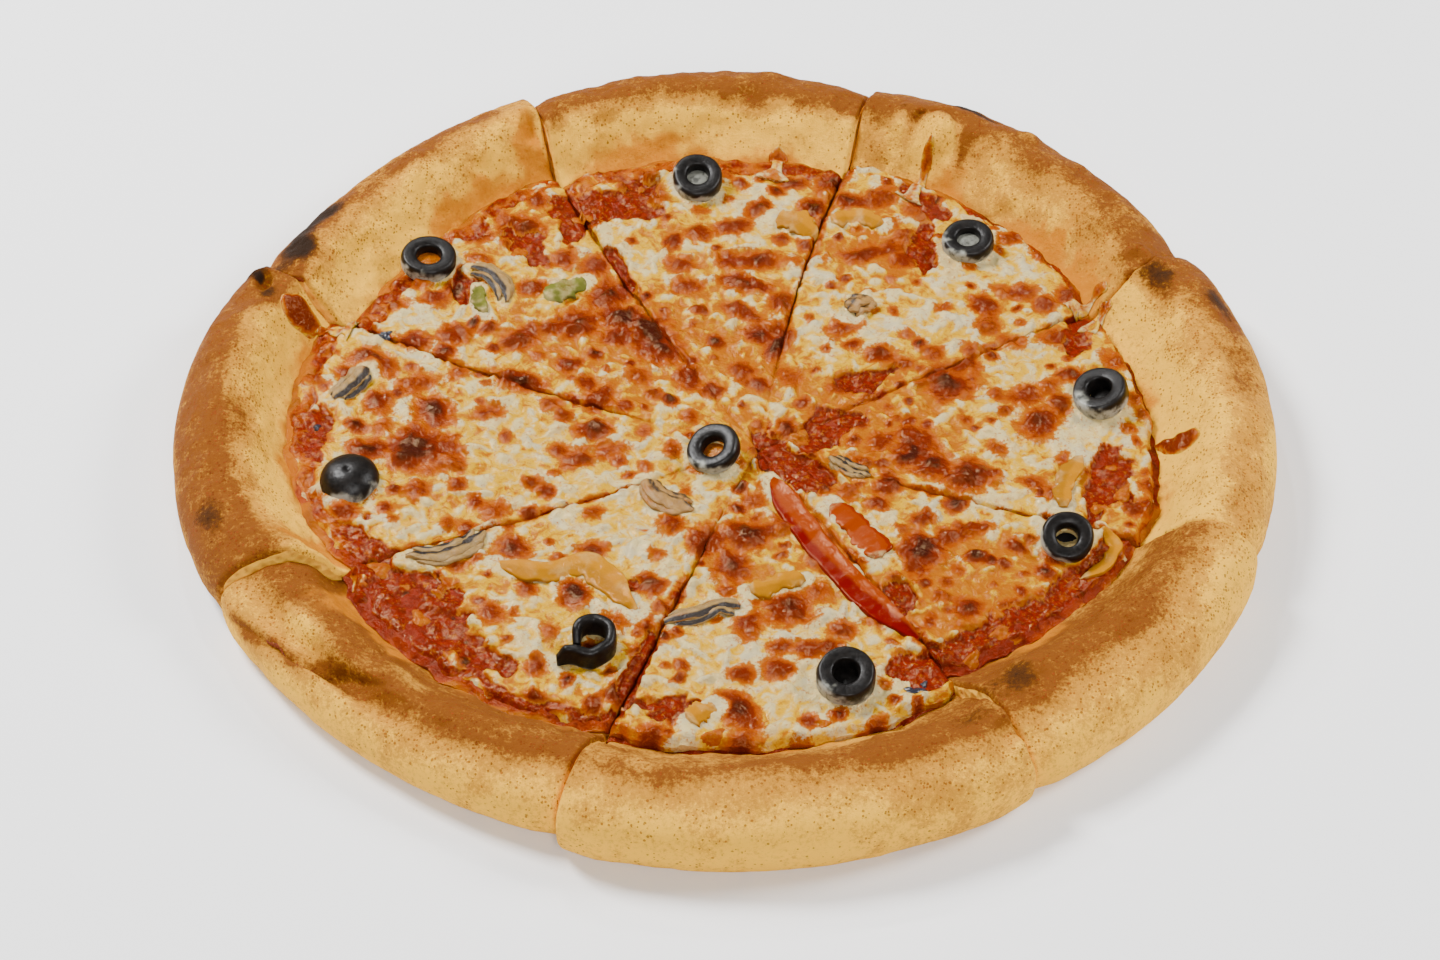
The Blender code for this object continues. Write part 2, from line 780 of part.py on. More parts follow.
def build():
    """Make the whole pizza."""
    clear_scene()
    collection = food_collection()
    dough = [dough_slice(index, collection) for index in range(len(SLICES))]
    sauce = [sauce_slice(index, collection) for index in range(len(SLICES))]
    cheese = [cheese_slice(index, collection) for index in range(len(SLICES))]
    tree = surface_tree(dough + sauce + cheese)
    add_olives(tree, collection)
    add_mushrooms(tree, collection)
    add_peppers(tree, collection)
    add_crust_spills(tree, collection)


build()
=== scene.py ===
"""Dresses the vegetarian pizza: crust, sauce, cheese, olives, mushrooms and peppers.

Shapes are worked out in millimetres about the middle of the round and turned into metres
when a mesh is made. Browning, oil and burnt spots are worked out at each point of a mesh
and kept on it as colour layers, which the materials read.
"""
import json
import math

import bpy
import numpy as np
from bpy.props import FloatProperty, FloatVectorProperty, IntProperty, PointerProperty
from bpy.types import Operator, Panel, PropertyGroup
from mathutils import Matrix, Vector
from mathutils.bvhtree import BVHTree

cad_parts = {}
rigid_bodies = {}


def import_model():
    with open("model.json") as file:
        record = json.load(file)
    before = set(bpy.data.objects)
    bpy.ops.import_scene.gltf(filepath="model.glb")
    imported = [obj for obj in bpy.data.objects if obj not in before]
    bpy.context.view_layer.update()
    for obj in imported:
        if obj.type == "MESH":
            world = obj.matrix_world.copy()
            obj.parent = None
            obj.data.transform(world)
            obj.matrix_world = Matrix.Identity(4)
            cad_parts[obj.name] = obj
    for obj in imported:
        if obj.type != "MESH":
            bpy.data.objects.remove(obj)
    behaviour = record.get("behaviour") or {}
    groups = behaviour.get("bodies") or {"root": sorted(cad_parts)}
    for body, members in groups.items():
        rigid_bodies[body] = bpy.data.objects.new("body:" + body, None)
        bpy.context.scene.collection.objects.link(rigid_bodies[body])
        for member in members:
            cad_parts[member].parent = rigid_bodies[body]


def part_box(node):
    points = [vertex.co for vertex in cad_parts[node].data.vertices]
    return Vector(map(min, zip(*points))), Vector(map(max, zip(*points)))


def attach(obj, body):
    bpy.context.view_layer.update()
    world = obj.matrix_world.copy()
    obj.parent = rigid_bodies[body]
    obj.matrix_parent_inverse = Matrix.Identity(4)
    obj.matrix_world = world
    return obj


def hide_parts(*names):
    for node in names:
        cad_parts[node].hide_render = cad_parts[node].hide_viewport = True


bl_info = {
    "name": "Vegetarian Pizza",
    "version": (1, 0, 0),
    "blender": (4, 5, 0),
    "location": "View3D > Sidebar > Pizza",
    "description": "Builds a sliced vegetarian pizza piece by piece",
    "category": "Object",
}

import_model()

MM = 0.001

# Sizes that the crust, sauce and cheese share, in millimetres
BASE_TOP = 7.0
SAUCE_LOW = 7.35
SAUCE_TOP = 9.05
CHEESE_LOW = 9.4
CHEESE_TOP = 12.8
ROUND_RADIUS = 150.0
UNDERSIDE_IN = 8.0
HUB = (9.0, -7.0)
SKIN_IN = 0.3
CUT_LOOK = 0.6

# Cuts: angle at the rim, sideways bow of the cut, half width at the hub and at the rim
CUTS = (
    (26, 1, 0.25, 0.45),
    (72, 4, 0.25, 0.50),
    (114, 4, 0.25, 0.70),
    (156, 5, 0.25, 0.60),
    (205, 2.5, 0.25, 0.50),
    (253, 0.5, 0.30, 0.90),
    (302, 0, 0.25, 0.60),
    (340.5, -2.5, 0.25, 0.45),
)

# Places across the crust, from the inner foot over the crest to the outer side
ACROSS_PLACES = (-1, -0.5, 0, 0.45, 1)

# Slices: outer radius, crest height and rim width at the first cut, half way and at the
# second cut, then how brown each place across the crust is, and how far in cheese ends
SLICES = (
    {"name": "far_right", "radius": (149.2, 152.4, 151.4), "crest": (23, 24.8, 24.8),
     "rim": (36, 34, 32), "bake": (0.42, 0.22, 0.92, 0.92, 0.30), "edge": 2, "glaze": 0.5},
    {"name": "far", "radius": (149.6, 152, 148.8), "crest": (23.4, 25.4, 23.4),
     "rim": (35, 35, 33), "bake": (-0.05, -0.22, 1.30, 1.36, 0.50), "edge": 7.5, "glaze": 0.75},
    {"name": "far_left", "radius": (152.2, 149, 148), "crest": (25, 24, 22),
     "rim": (32, 34, 35), "bake": (0.00, -0.20, 0.50, 0.74, 0.30), "edge": 6, "glaze": 0.65},
    {"name": "left", "radius": (150.2, 152, 149), "crest": (23.6, 25, 24.2),
     "rim": (31, 34, 41), "bake": (-0.16, -0.20, 0.84, 1.00, 0.60), "edge": 5.5, "glaze": 0.65},
    {"name": "near_left", "radius": (149.2, 146, 145.2), "crest": (20.5, 19.5, 20.8),
     "rim": (37, 34, 37), "bake": (0.80, 1.28, 1.08, 0.26, 0.06), "edge": 3, "glaze": 0.3},
    {"name": "near", "radius": (149.2, 150, 149.6), "crest": (23.4, 24, 23.6),
     "rim": (38, 39, 40), "bake": (0.60, 0.82, 0.70, 0.24, 0.10), "edge": -2.5, "glaze": 0.3},
    {"name": "near_right", "radius": (146.8, 150, 151.8), "crest": (21.4, 23.5, 24.6),
     "rim": (44, 42, 36), "bake": (0.60, 0.98, 0.80, 0.24, 0.10), "edge": 7.5, "glaze": 0.3},
    {"name": "right", "radius": (150, 152.2, 151.6), "crest": (23.4, 25, 24.4),
     "rim": (33, 37, 38), "bake": (0.05, -0.14, 0.20, 0.52, 0.36), "edge": 0, "glaze": 0.3},
)

# Swellings and dents of the crust: angle, distance in from the rim, half width along the
# rim, half width across it, height
CRUST_SWELLS = (
    (63.5, 15, 7, 12, 1.9),
    (56, 21, 5, 9, -1.8),
    (152, 14, 8, 9, 1.6),
    (158.5, 12, 5, 6, -2.6),
    (143, 22, 12, 9, -1.6),
    (174, 13, 18, 10, 0.8),
    (212, 24, 12, 7, 3.4),
    (222, 9, 20, 5, -4.5),
    (237, 16, 14, 11, 1.4),
    (268, 14, 16, 9, 0.9),
    (309, 27, 10, 8, 2.6),
    (330, 22, 12, 8, 1),
    (352, 16, 14, 9, 0.8),
    (94, 13, 13, 9, 0.7),
)

# Burst bubbles and pockets: angle, place across, half along in degrees, half across,
# height and width of the lip, depth of the dish, share of the lip on the foot's side
CRUST_FOLDS = (
    (158, 0.24, 2.6, 0.30, 0, 0.30, -1.6, 1),
    (158.8, 0.14, 1.8, 0.15, 0.8, 0.40, 1.8, 1),
    (157.2, 0.42, 1.2, 0.12, 0.6, 0.40, 1.6, 1),
    (61.5, -0.34, 2.7, 0.36, -1.5, 0.20, -2, 0.1),
    (115.5, -0.30, 1.8, 0.26, 1.2, 0.35, 1.8, 0.6),
    (27, -0.05, 2.2, 0.20, 1, 0.35, 1.4, 0.6),
    (300.5, 0.25, 2.4, 0.22, 0.8, 0.35, 1.6, 0.5),
)

# Marks on the crust: angle, place across it (-1 inner foot, 0 crest, 1 outer side), half
# width along in degrees, half width across, browning added, char added
CRUST_MARKS = (
    (61, 0.40, 5.5, 0.14, 0.6, 1.05),
    (67, -0.10, 1.6, 0.16, 0.5, 0.50),
    (57.6, -0.25, 1, 0.40, 0.9, 0.10),
    (65.2, -0.25, 1, 0.40, 0.9, 0.05),
    (69, -0.30, 2.6, 0.50, 0.6, 0),
    (70, 0.15, 3.4, 0.40, 0.4, 0),
    (60.5, 0.06, 3, 0.10, 0.9, 0.15),
    (61.5, -0.36, 2.3, 0.30, -1.1, 0),
    (41, 0.5, 6, 0.25, 0.3, 0.10),
    (28.4, 0.10, 2.6, 0.40, 0.7, 0.20),
    (23.4, -0.06, 4.2, 0.40, 0.9, 0.66),
    (24, 0.40, 4, 0.40, 0.5, 0.10),
    (16.5, 0.42, 4, 0.24, 0.8, 0.74),
    (146, 0.45, 7.5, 0.35, 0.6, 0.95),
    (152, 0.15, 3.5, 0.35, 0.5, 0.90),
    (160.4, 0.02, 2, 0.16, 0.9, 0.42),
    (157, 0.44, 2.4, 0.26, 0.9, 0.80),
    (158.7, 0.24, 0.8, 0.09, 0.5, 0.90),
    (159, 0.28, 4.6, 0.44, 0.8, 0.16),
    (158.8, 0.16, 1.2, 0.14, -0.9, -0.30),
    (160, -0.12, 2.2, 0.20, 0.5, 0.40),
    (125, 0.30, 8, 0.20, 0.35, 0.25),
    (134, 0.20, 5, 0.16, 0.35, 0.25),
    (104, 0.38, 9, 0.16, 0.25, 0.12),
    (83, 0.40, 7, 0.18, 0.30, 0.20),
    (197.5, 0.42, 6, 0.46, 0.9, 0.62),
    (187, 0.35, 7, 0.30, 0.3, 0.18),
    (172, 0.20, 8, 0.30, 0.3, 0.12),
    # The next three marks follow the crease of the near-left slice: browning and char along the
    # fold, partly its baked edges and partly painted shade in the crease
    (211.5, 0.76, 3.8, 0.14, 1.1, 0.40),
    (217, 0.52, 3.8, 0.13, 1.1, 0.30),
    (223, 0.27, 3.8, 0.12, 1.1, 0.22),
    (216, 0.10, 5, 0.22, -0.9, 0),
    (229, -0.35, 5, 0.25, -0.5, 0),
    (236, 0.20, 9, 0.24, 0.22, 0.06),
    (245, -0.10, 6, 0.30, 0.3, 0),
    (262, 0, 7, 0.30, 0.3, 0.05),
    (275, -0.20, 8, 0.25, 0.35, 0.08),
    (290, -0.10, 7, 0.34, 0.5, 0.35),
    (298.4, -0.20, 5, 0.40, 0.7, 0.50),
    (305.6, -0.20, 4.4, 0.40, 0.9, 0.62),
    (315, -0.25, 6.5, 0.22, 0.45, 0.25),
    (322, 0.05, 5, 0.18, 0.45, 0.30),
    (336, 0.50, 6, 0.40, -0.4, 0),
    (350, 0.10, 7, 0.30, 0.25, 0),
    (6, 0.35, 8, 0.25, 0.25, 0.10),
    (355, 0.70, 7, 0.25, -0.4, 0),
)

# Oil and sauce that climbed the inner side of the crust: angle, half width, share climbed
OIL_CLIMBS = (
    (98, 20, 0.22),
    (106, 8, 0.16),
    (116.5, 3.4, 0.62),
    (122, 8, 0.30),
    (132, 9, 0.34),
    (148, 8, 0.10),
    (38, 12, 0.40),
    (30, 5, 0.34),
    (58, 7, 0.26),
    (80, 8, 0.14),
    (184, 18, 0.16),
    (201, 4, 0.50),
    (163, 6, 0.22),
    (213, 6, 0.60),
    (221, 5, 0.36),
    (231, 6, 0.16),
    (246, 6, 0.18),
    (281, 16, 0.14),
    (318, 10, 0.18),
    (348, 9, 0.22),
    (9, 9, 0.16),
)

# Places where the sauce shows through the cheese: middle x and y, half length, half
# width, turn in degrees
BARE_SAUCE = (
    (-84, -64, 30, 13, -52),
    (-64, -84, 12, 5, -35),
    (-98, -45, 9, 6, -60),
    (104, -21, 15, 7, 75),
    (70, -78, 22, 7, 38),
    (93, -58, 9, 4.5, 35),
    (58, -88, 8, 5, 20),
    (-36, 96, 18, 9.5, 5),
    (-58, 79, 6, 11, 25),
    (-44, 86, 5, 9, -10),
    (-75, 84, 8, 5, 40),
    (-75, 62, 4.5, 9, 8),
    (-113, -3, 4, 14, -4),
    (28, 1, 11, 7, 35),
    (13, -10, 5, 13, 14),
    (24, -18, 9, 7, 0),
    (40, 20, 12, 4.5, 25),
    (-27, -63, 5, 9, 20),
    (-23, -90, 3, 16, -16),
    (-14, -101, 10, 4.5, -5),
    (50, -88, 9, 6, -10),
    (60, 96, 9, 4, -50),
    (58, 75, 4, 11, -4),
    (102, 44, 5, 13, -20),
    (-31, 68, 2.6, 9, 24),
    (46, -63, 3.4, 9, 12),
)

# Large browned blisters: middle x and y, half length, half width, turn, darkness
BIG_BLISTERS = (
    (-20, 37, 9.5, 5.6, -62, 1),
    (-29, 45, 6, 4, -30, 0.9),
    (-42, 43, 6, 4.2, 20, 0.8),
    (-30, 37.5, 4, 3.6, 0, 0.7),
    (-58, 37, 5.6, 3.8, 20, 0.75),
    (-46, 41.5, 8, 3, 12, 0.55),
    (-84, -9, 8.6, 7.2, 10, 0.95),
    (-81, 7, 3.8, 6.4, 20, 0.85),
    (-97, 10.5, 3.8, 3.6, 0, 0.75),
    (-99, 27, 5.6, 3.6, -25, 0.75),
    (-60, 85.5, 6, 4.6, -20, 0.95),
    (-33, 56, 5.4, 5, 0, 0.85),
    (-56, 58, 4, 3.4, 0, 0.6),
    (-57, 19.5, 6.4, 3.4, -22, 1),
    (-44, 26.5, 3.2, 2.8, 0, 0.7),
    (-10, 21, 3.6, 4.2, 20, 0.7),
    (-36, 0, 4.4, 3, 10, 0.8),
    (-66, 6, 3.2, 2.6, 0, 0.5),
    (-96, 51, 4, 2.4, 0, 0.5),
    (-83, 54, 3.4, 2.8, 0, 0.55),
    (-77, 39, 4, 4, 0, 0.5),
    (-57, -46, 4.4, 5, 0, 0.8),
    (-36, -47, 3.4, 3, 0, 0.7),
    (-40, -12, 3.6, 3, 20, 0.5),
    (-20, -60, 4, 3.4, 0, 0.8),
    (-5, -44, 4.4, 4.6, 0, 0.7),
    (6.5, -42, 5, 5, 0, 0.8),
    (2, -53, 4.4, 4.8, 0, 0.8),
    (17, -68, 5.2, 4.8, 0, 0.8),
    (5.5, -73, 3, 5, 0, 0.65),
    (4.5, -91, 3, 2.6, 0, 0.6),
    (13, -89.5, 3.4, 3, 0, 0.6),
    (24, -82, 6, 2.4, 12, 0.45),
    (31, -75.5, 3, 2.6, 0, 0.5),
    (3, -103, 3.6, 5.6, 40, 0.8),
    (52, -8, 5.4, 6.6, 0, 1),
    (57, -14, 5.4, 4, 0, 0.8),
    (67, -19, 6, 5, -20, 0.75),
    (43, -5, 4, 3.4, 0, 0.5),
    (52, -48, 5, 7, -10, 1),
    (60, -42, 5, 3, 10, 0.6),
    (66, -38.5, 4.4, 2, 0, 0.5),
    (44, -22, 4, 4, 0, 0.7),
    (63, 18, 7, 5.4, 15, 0.9),
    (66, 25, 4.4, 2.6, 30, 0.7),
    (84, 13, 4, 3.4, 0, 0.5),
    (87, 2, 4, 6, -30, 0.75),
    (44, 30, 4.4, 3.4, 0, 0.7),
    (84, 56, 4.6, 3.2, 0, 0.5),
    (96, 36, 4.6, 3.8, 0, 0.5),
    (42, 73, 8.6, 3.4, 15, 0.7),
    (52, 70, 5, 3, 0, 0.6),
    (8, 69.5, 8.6, 3.2, 2, 0.75),
    (6, 59.5, 7, 2.8, -18, 0.8),
    (16, 52, 3.2, 4.4, -30, 0.6),
    (-11, 58.5, 4.4, 3, 0, 0.6),
    (-12, 68, 4, 3, 0, 0.5),
    (2, 85, 4.8, 3.2, 0, 0.65),
    (-8, 82, 3.2, 2.6, 0, 0.4),
    (5, 47, 6, 2.4, -35, 0.5),
    (14.5, 33.5, 3, 6, -14, 1),
    (10, 38, 4.4, 3, -20, 0.8),
    (32, 16, 3.6, 3, 0, 0.6),
)

# Creamy areas with few browned spots, and oily areas with many: x, y, radius, amount
CREAM_AREAS = (
    (-92, 45, 20, 0.7),
    (-70, 22, 20, 0.4),
    (-40, -20, 26, 0.5),
    (-95, -8, 14, 0.4),
    (-24, -42, 18, 0.8),
    (15, -88, 26, 0.9),
    (60, -28, 17, 0.9),
    (80, -32, 14, 0.8),
    (30, 38, 17, 0.9),
    (65, 48, 22, 0.6),
    (85, 12, 18, 0.7),
    (100, -2, 9, 0.9),
    (0, 72, 24, 0.3),
    (8, 95, 14, 0.8),
    (-48, 72, 13, 0.6),
    (-24, 68, 9, 0.8),
    (85, 68, 14, 0.7),
    (-33, -76, 8, 0.5),
)
OILY_AREAS = (
    (-45, 46, 20, 0.9),
    (0, 28, 22, 0.4),
    (-30, 15, 20, 0.3),
    (28, 8, 22, 0.8),
    (70, -52, 18, 0.9),
    (55, -68, 12, 0.9),
    (-85, 10, 15, 0.4),
    (2, -45, 15, 0.7),
    (45, 74, 16, 0.7),
    (-5, 50, 22, 0.5),
    (40, -18, 16, 0.7),
    (96, -20, 9, 0.7),
    (50, -2, 20, 0.5),
)

# Olives: node, x, y, outer radius, height, tilt, way of the tilt, fill of the hole
OLIVES = (
    ("olive_far", -8, 103.5, 7.6, 5, 14, 270, "grey"),
    ("olive_far_left", -86, 68, 7.8, 5.2, 8, 300, "orange"),
    ("olive_far_right", 71, 75, 7.4, 5, 10, 250, "grey"),
    ("olive_middle", -2.5, -12, 7.4, 4.4, 20, 215, "orange"),
    ("olive_right", 105, 10, 7.9, 5.6, 16, 190, "dark"),
    ("olive_near_right", 91, -44.5, 7, 5.4, 26, 268, "dark"),
    ("olive_near", 31, -94, 7.8, 6.6, 12, 262, "dark"),
)
# End piece of an olive: node, x, y, radius
OLIVE_END = ("olive_end_left", -102, -21, 8.2)
# Path of the olive ring that lies open
OLIVE_CURL = ((-43.5, -87.8), (-39.5, -87.2), (-34.5, -88.2), (-30, -85),
              (-29.8, -79.6), (-33.8, -76.8), (-38, -79), (-38.4, -83.6))

# Mushroom slices: node, path along the slice, half width
MUSHROOMS = (
    ("mushroom_far_left", ((-73.5, 66), (-67.5, 64), (-63, 57.5), (-62.5, 51.5)), 2.9),
    ("mushroom_left", ((-109, 11), (-104.5, 16.5), (-100.5, 23.5)), 3.4),
    ("mushroom_near_left", ((-85, -49.5), (-76, -49.5), (-68, -45),
                            (-64.5, -39.5)), 3.4),
    ("mushroom_middle", ((-22.5, -21), (-17.5, -28), (-8.5, -32.5)), 3.4),
    ("mushroom_near", ((-16, -73), (-7.5, -71), (-1, -67.5), (4, -68.5)), 2.9),
    ("mushroom_right", ((28.5, -11.5), (33.5, -16), (39.5, -19)), 2.4),
    ("mushroom_far_right", ((35.5, 46), (39, 49.5), (42, 53)), 3.4),
)

# How deep strips lie in the cheese
STRIP_SINK = 0.7

# Leaves of a mushroom: shift aside, length and half width as shares of the slice's own,
# then rise
MUSHROOM_LEAVES = (
    (-0.62, 0.86, 0.50, 0.20),
    (0.00, 1.00, 0.62, 0.90),
    (0.66, 0.78, 0.46, 0.40),
)
# Mushrooms with their gills on the left, and those with pale gills
DARK_LEFT = ("mushroom_far_left", "mushroom_near", "mushroom_left")
PALE_MUSHROOMS = ("mushroom_middle", "mushroom_far_right")

# Pepper strips: node, path along the strip, half width, colour
PEPPERS = (
    ("pepper_red_long", ((12.5, -21), (18, -33), (27, -50), (37.5, -66),
                         (50, -79.5)), 3.6, "red"),
    ("pepper_yellow_far", ((15.5, 89), (20.5, 86), (27, 80.5)), 3.8, "yellow"),
    ("pepper_orange_far", ((31, 86.5), (38.5, 88), (46.5, 85)), 3, "yellow"),
    ("pepper_yellow_near_left", ((-61, -51.5), (-50, -55), (-37.5, -54),
                                 (-29.5, -60.5), (-23.5, -69.5)), 3.8, "yellow"),
    ("pepper_yellow_near", ((6.5, -62.5), (13, -61), (21, -58)), 2.5, "yellow"),
    ("pepper_yellow_near_edge", ((-9.5, -107), (-6, -104.5), (-2.5, -102)), 2.9,
     "yellow"),
    ("pepper_yellow_right", ((97.5, -11), (93, -21), (91, -31.5)), 2.6, "yellow"),
    ("pepper_yellow_near_right", ((100.5, -39), (104, -44), (101.5, -51),
                                  (94, -56)), 1.9, "yellow"),
    ("pepper_green_far_left", ((-71, 58), (-70.5, 52), (-68.5, 47)), 2, "green"),
    ("pepper_green_left", ((-51, 52), (-46, 57), (-40, 60.5)), 3.2, "green"),
    ("pepper_orange_near_right", ((28.5, -30.5), (34, -37), (38.5, -44.5),
                                  (40.5, -51)), 4.4, "orange"),
)

# Shape of each colour of strip: thickness, bow, steps along, uneven edge, twist, share of
# cheese on it, slot
PEPPER_SHAPES = {
    "red": (2.4, -0.7, 120, 0.16, 0.75, 0.0, "red_pepper"),
    "yellow": (1.8, -0.1, 70, 0.6, 0.3, 0.22, "yellow_pepper"),
    "green": (1.8, -0.1, 70, 0.6, 0.3, 0.35, "green_pepper"),
    "orange": (1.4, 0.3, 70, 0.6, 0.3, 0.7, "orange_pepper"),
}

# Spills baked on to the crust: node, angle, inset, half length along, half width across,
# thickness, lean in degrees
SPILLS = (
    ("blister_crust_left", 160.3, 22.6, 4.4, 5.4, 2.2, 0),
    ("drip_crust_right", 356.8, 28, 2.7, 7.4, 1.5, -40),
)

# Cheese drawn up on to the crust: points in x and y, then half width
STRANDS = (
    ((14, 106), (15.5, 113), (16.5, 121.5), 5),
    ((54.5, 98.5), (58, 106), (61.5, 114.5), 3.6),
    ((99, 49), (104, 53), (109.5, 57.5), 3.6),
    ((103, 40), (107, 46), (110, 51.5), 2.8),
    ((-106, 40), (-111, 41.5), (-116.5, 43), 4),
)

# Small flat pieces: x, y, half length, half width, turn in degrees
BURNT_BITS = (
    (-97, 38, 2.6, 1.9, 20),
    (48.5, -96, 2.8, 1.5, 10),
    (51, -93.5, 1.2, 0.9, 60),
    (-113, 2, 1.4, 1, 70),
)
TOMATO_FLAKES = (
    (-3, -111, 3.4, 1.8, 25),
    (25, -107.5, 1.8, 1.2, 0),
    (108, -24, 3.2, 2, 70),
    (101, -30, 2.6, 1.8, 20),
    (-92, -52, 3.6, 2.4, -40),
    (-80, -70, 3.2, 2.2, -60),
    (72, -75, 3, 2, 30),
    (64, -84, 2.8, 1.8, 50),
    (20, -4, 3, 2.2, 0),
    (-42, 90, 3.4, 2.2, 10),
    (-60, 74, 3, 2, 40),
    (104, 40, 2.8, 1.8, 80),
)

# Flat fields that the toppings are worked out on: half width, step, number of steps
FIELD_HALF = 150.0
FIELD_STEP = 0.4
FIELD_SIZE = 751

# How fine the pieces are: stations round a slice, and steps or rings across it
CRUST_STATIONS = 170
CRUST_STEPS = (38, 34, 12)
INNER_ROWS = 10
CHEESE_GRID = (136, 168)
SAUCE_GRID = (90, 120)
OLIVE_AROUND = 84
HOLE_RINGS = 8
HOLE_AROUND = 28
SPILL_GRID = (26, 72)
PIECE_GRID = (7, 20)
STRAND_GRID = (40, 16)

# Seeds of the random draws, and how many values, lumps and spots are drawn
LATTICE_SEED = 5
TOPPING_SEED = 21
GRAIN_SEED = 9
LATTICE_SIZE = 48
LUMP_COUNT = 3400
SPOT_COUNT = 2600

# How far out lumps and small spots are placed, and the lump height in metres at which
# the cheese is as uneven as its fields
LUMP_REACH = 122.0
SPOT_REACH = 118.0
FIELD_LUMPS = 0.0008

# A grain of semolina: its corners in sizes of the grain, and its faces
GRAIN_CORNERS = ((1, 0, 0), (-0.5, 0.87, 0), (-0.5, -0.87, 0), (0, 0, 1), (0, 0, -0.4))
GRAIN_FACES = ((0, 1, 3), (1, 2, 3), (2, 0, 3), (1, 0, 4), (2, 1, 4), (0, 2, 4))

# Height of what stands in an olive's hole, as a share of the olive's own
# The dark fill is an olive-black disc that stands in for the shade down the hole: painted shade
FILL_HEIGHTS = {"grey": 0.66, "orange": 0.50, "dark": 0.46}

# Way that the pale film on the olives faces, in degrees
FILM_SIDE = 215.0

# Lights: name, place, size and share of the main or of the small lights' power
MAIN_LIGHTS = (
    ("key_light", (-0.75, 0.45, 1.1), 0.42, 1.0),
    ("side_light", (1.0, 0.15, 0.85), 0.5, 0.5),
    ("front_light", (0.1, -1.15, 0.95), 0.6, 0.42),
)
SMALL_LIGHTS = (
    ("far_spark", (-0.20, 0.85, 0.95), 0.05, 1.0),
    ("left_spark", (-0.80, 0.55, 0.80), 0.05, 1.0),
)

# Stage: where the camera stands and half the floor's width in metres, and the film's width
# in millimetres
CAMERA_PLACE = (-0.00138, -0.67445, 0.6669)
FLOOR_HALF = 6.0
FILM_WIDTH = 36.0
FLOOR_COLOUR = (0.95, 0.95, 0.95)


def linear(red, green, blue):
    """Linear colour from the 0 to 255 values that a screen shows."""
    made = []
    for value in (red, green, blue):
        share = value / 255.0
        made.append(share / 12.92 if share <= 0.04045 else ((share + 0.055) / 1.055) ** 2.4)
    return tuple(made)


def colour_property(name, description, red, green, blue):
    """Colour setting with its default given in screen values."""
    return FloatVectorProperty(name=name, description=description, subtype="COLOR", size=3,
                               min=0.0, max=1.0, default=linear(red, green, blue))


class PIZZA_PG_crust(PropertyGroup):
    """Colours and relief of the crust."""
    pale: colour_property("Pale dough", "Dough that the oven hardly coloured", 254, 190, 50)
    golden: colour_property("Golden dough", "Evenly baked dough", 204, 140, 40)
    brown: colour_property("Brown dough", "Well baked dough", 124, 67, 18)
    bran: colour_property("Bran", "Browned grains and specks", 146, 60, 14)
    char: colour_property("Burnt dough", "Burnt spots", 36, 21, 16)
    oil: colour_property("Oily dough", "Dough soaked in orange oil", 204, 120, 1)
    relief: FloatProperty(name="Relief", description="Height of the small bumps",
                          default=0.0009, min=0.0, max=0.002, subtype="DISTANCE",
                          unit="LENGTH")
    grains: IntProperty(name="Semolina grains", description="Grains stuck to the crust",
                        default=22000, min=0, max=30000)


class PIZZA_PG_toppings(PropertyGroup):
    """Colours and relief of what lies on the dough."""
    cream: colour_property("Cream", "Melted cheese", 190, 169, 112)
    honey: colour_property("Golden cheese", "Cheese that holds a little oil", 190, 143, 0)
    butter: colour_property("Oily cheese", "Cheese that holds orange oil", 152, 82, 0)
    toast: colour_property("Toasted cheese", "Edge of a browned blister", 140, 58, 1)
    blister: colour_property("Blister", "Browned cheese blister", 98, 25, 3)
    scorch: colour_property("Scorched blister", "Darkest browned cheese", 52, 13, 5)
    tomato: colour_property("Tomato", "Cooked tomato sauce", 112, 18, 2)
    tomato_dark: colour_property("Dark tomato", "Thick dark tomato sauce", 84, 15, 4)
    tomato_oil: colour_property("Tomato oil", "Orange oil on the sauce", 140, 50, 0)
    olive: colour_property("Olive", "Olive skin and flesh", 19, 16, 14)
    film: colour_property("Film", "Pale film of cheese on an olive", 152, 152, 140)
    mushroom: colour_property("Mushroom", "Mushroom flesh", 152, 120, 68)
    gills: colour_property("Gills", "Dark mushroom gills", 39, 32, 28)
    red: colour_property("Red pepper", "Red pepper skin", 100, 0, 0)
    orange: colour_property("Orange flesh", "Orange pepper flesh", 130, 44, 0)
    yellow: colour_property("Yellow pepper", "Yellow pepper", 160, 102, 0)
    green: colour_property("Green pepper", "Green pepper", 79, 80, 28)
    lumps: FloatProperty(name="Lumps", description="Height of the lumps in the cheese",
                         default=0.0010, min=0.0, max=0.003, subtype="DISTANCE",
                         unit="LENGTH")


class PIZZA_PG_stage(PropertyGroup):
    """Camera and light."""
    lens: FloatProperty(name="Lens", description="Focal length of the camera in millimetres",
                        default=85.0, min=20.0, max=200.0)
    height: FloatProperty(name="View angle", description="Angle of the camera above level",
                          default=math.radians(45.0), min=0.1, max=1.5, subtype="ANGLE",
                          unit="ROTATION")
    key: FloatProperty(name="Key light", description="Power of the main light in watts",
                       default=35.0, min=0.0, max=200.0)
    spark: FloatProperty(name="Small lights", description="Power of each small light in watts",
                         default=3.0, min=0.0, max=20.0)
    sky: FloatProperty(name="Surrounding light", description="Strength of the white surround",
                       default=0.14, min=0.0, max=4.0)


# Small sums


def smooth(value):
    """Smooth step from 0 to 1."""
    value = np.clip(value, 0.0, 1.0)
    return value * value * (3.0 - 2.0 * value)


def hump(distance):
    """Rounded bump of height 1 that ends at distance 1."""
    return np.clip(1.0 - distance * distance, 0.0, 1.0) ** 2


def blend(values, share):
    """Smooth value through three sizes: at 0, at a half and at 1."""
    first, middle, last = values
    bend = 4.0 * middle - 2.0 * first - 2.0 * last
    return first + (last - first) * share + bend * share * (1.0 - share)


def angle_gap(first, second):
    """Signed difference of two angles in degrees."""
    return (first - second + 180.0) % 360.0 - 180.0


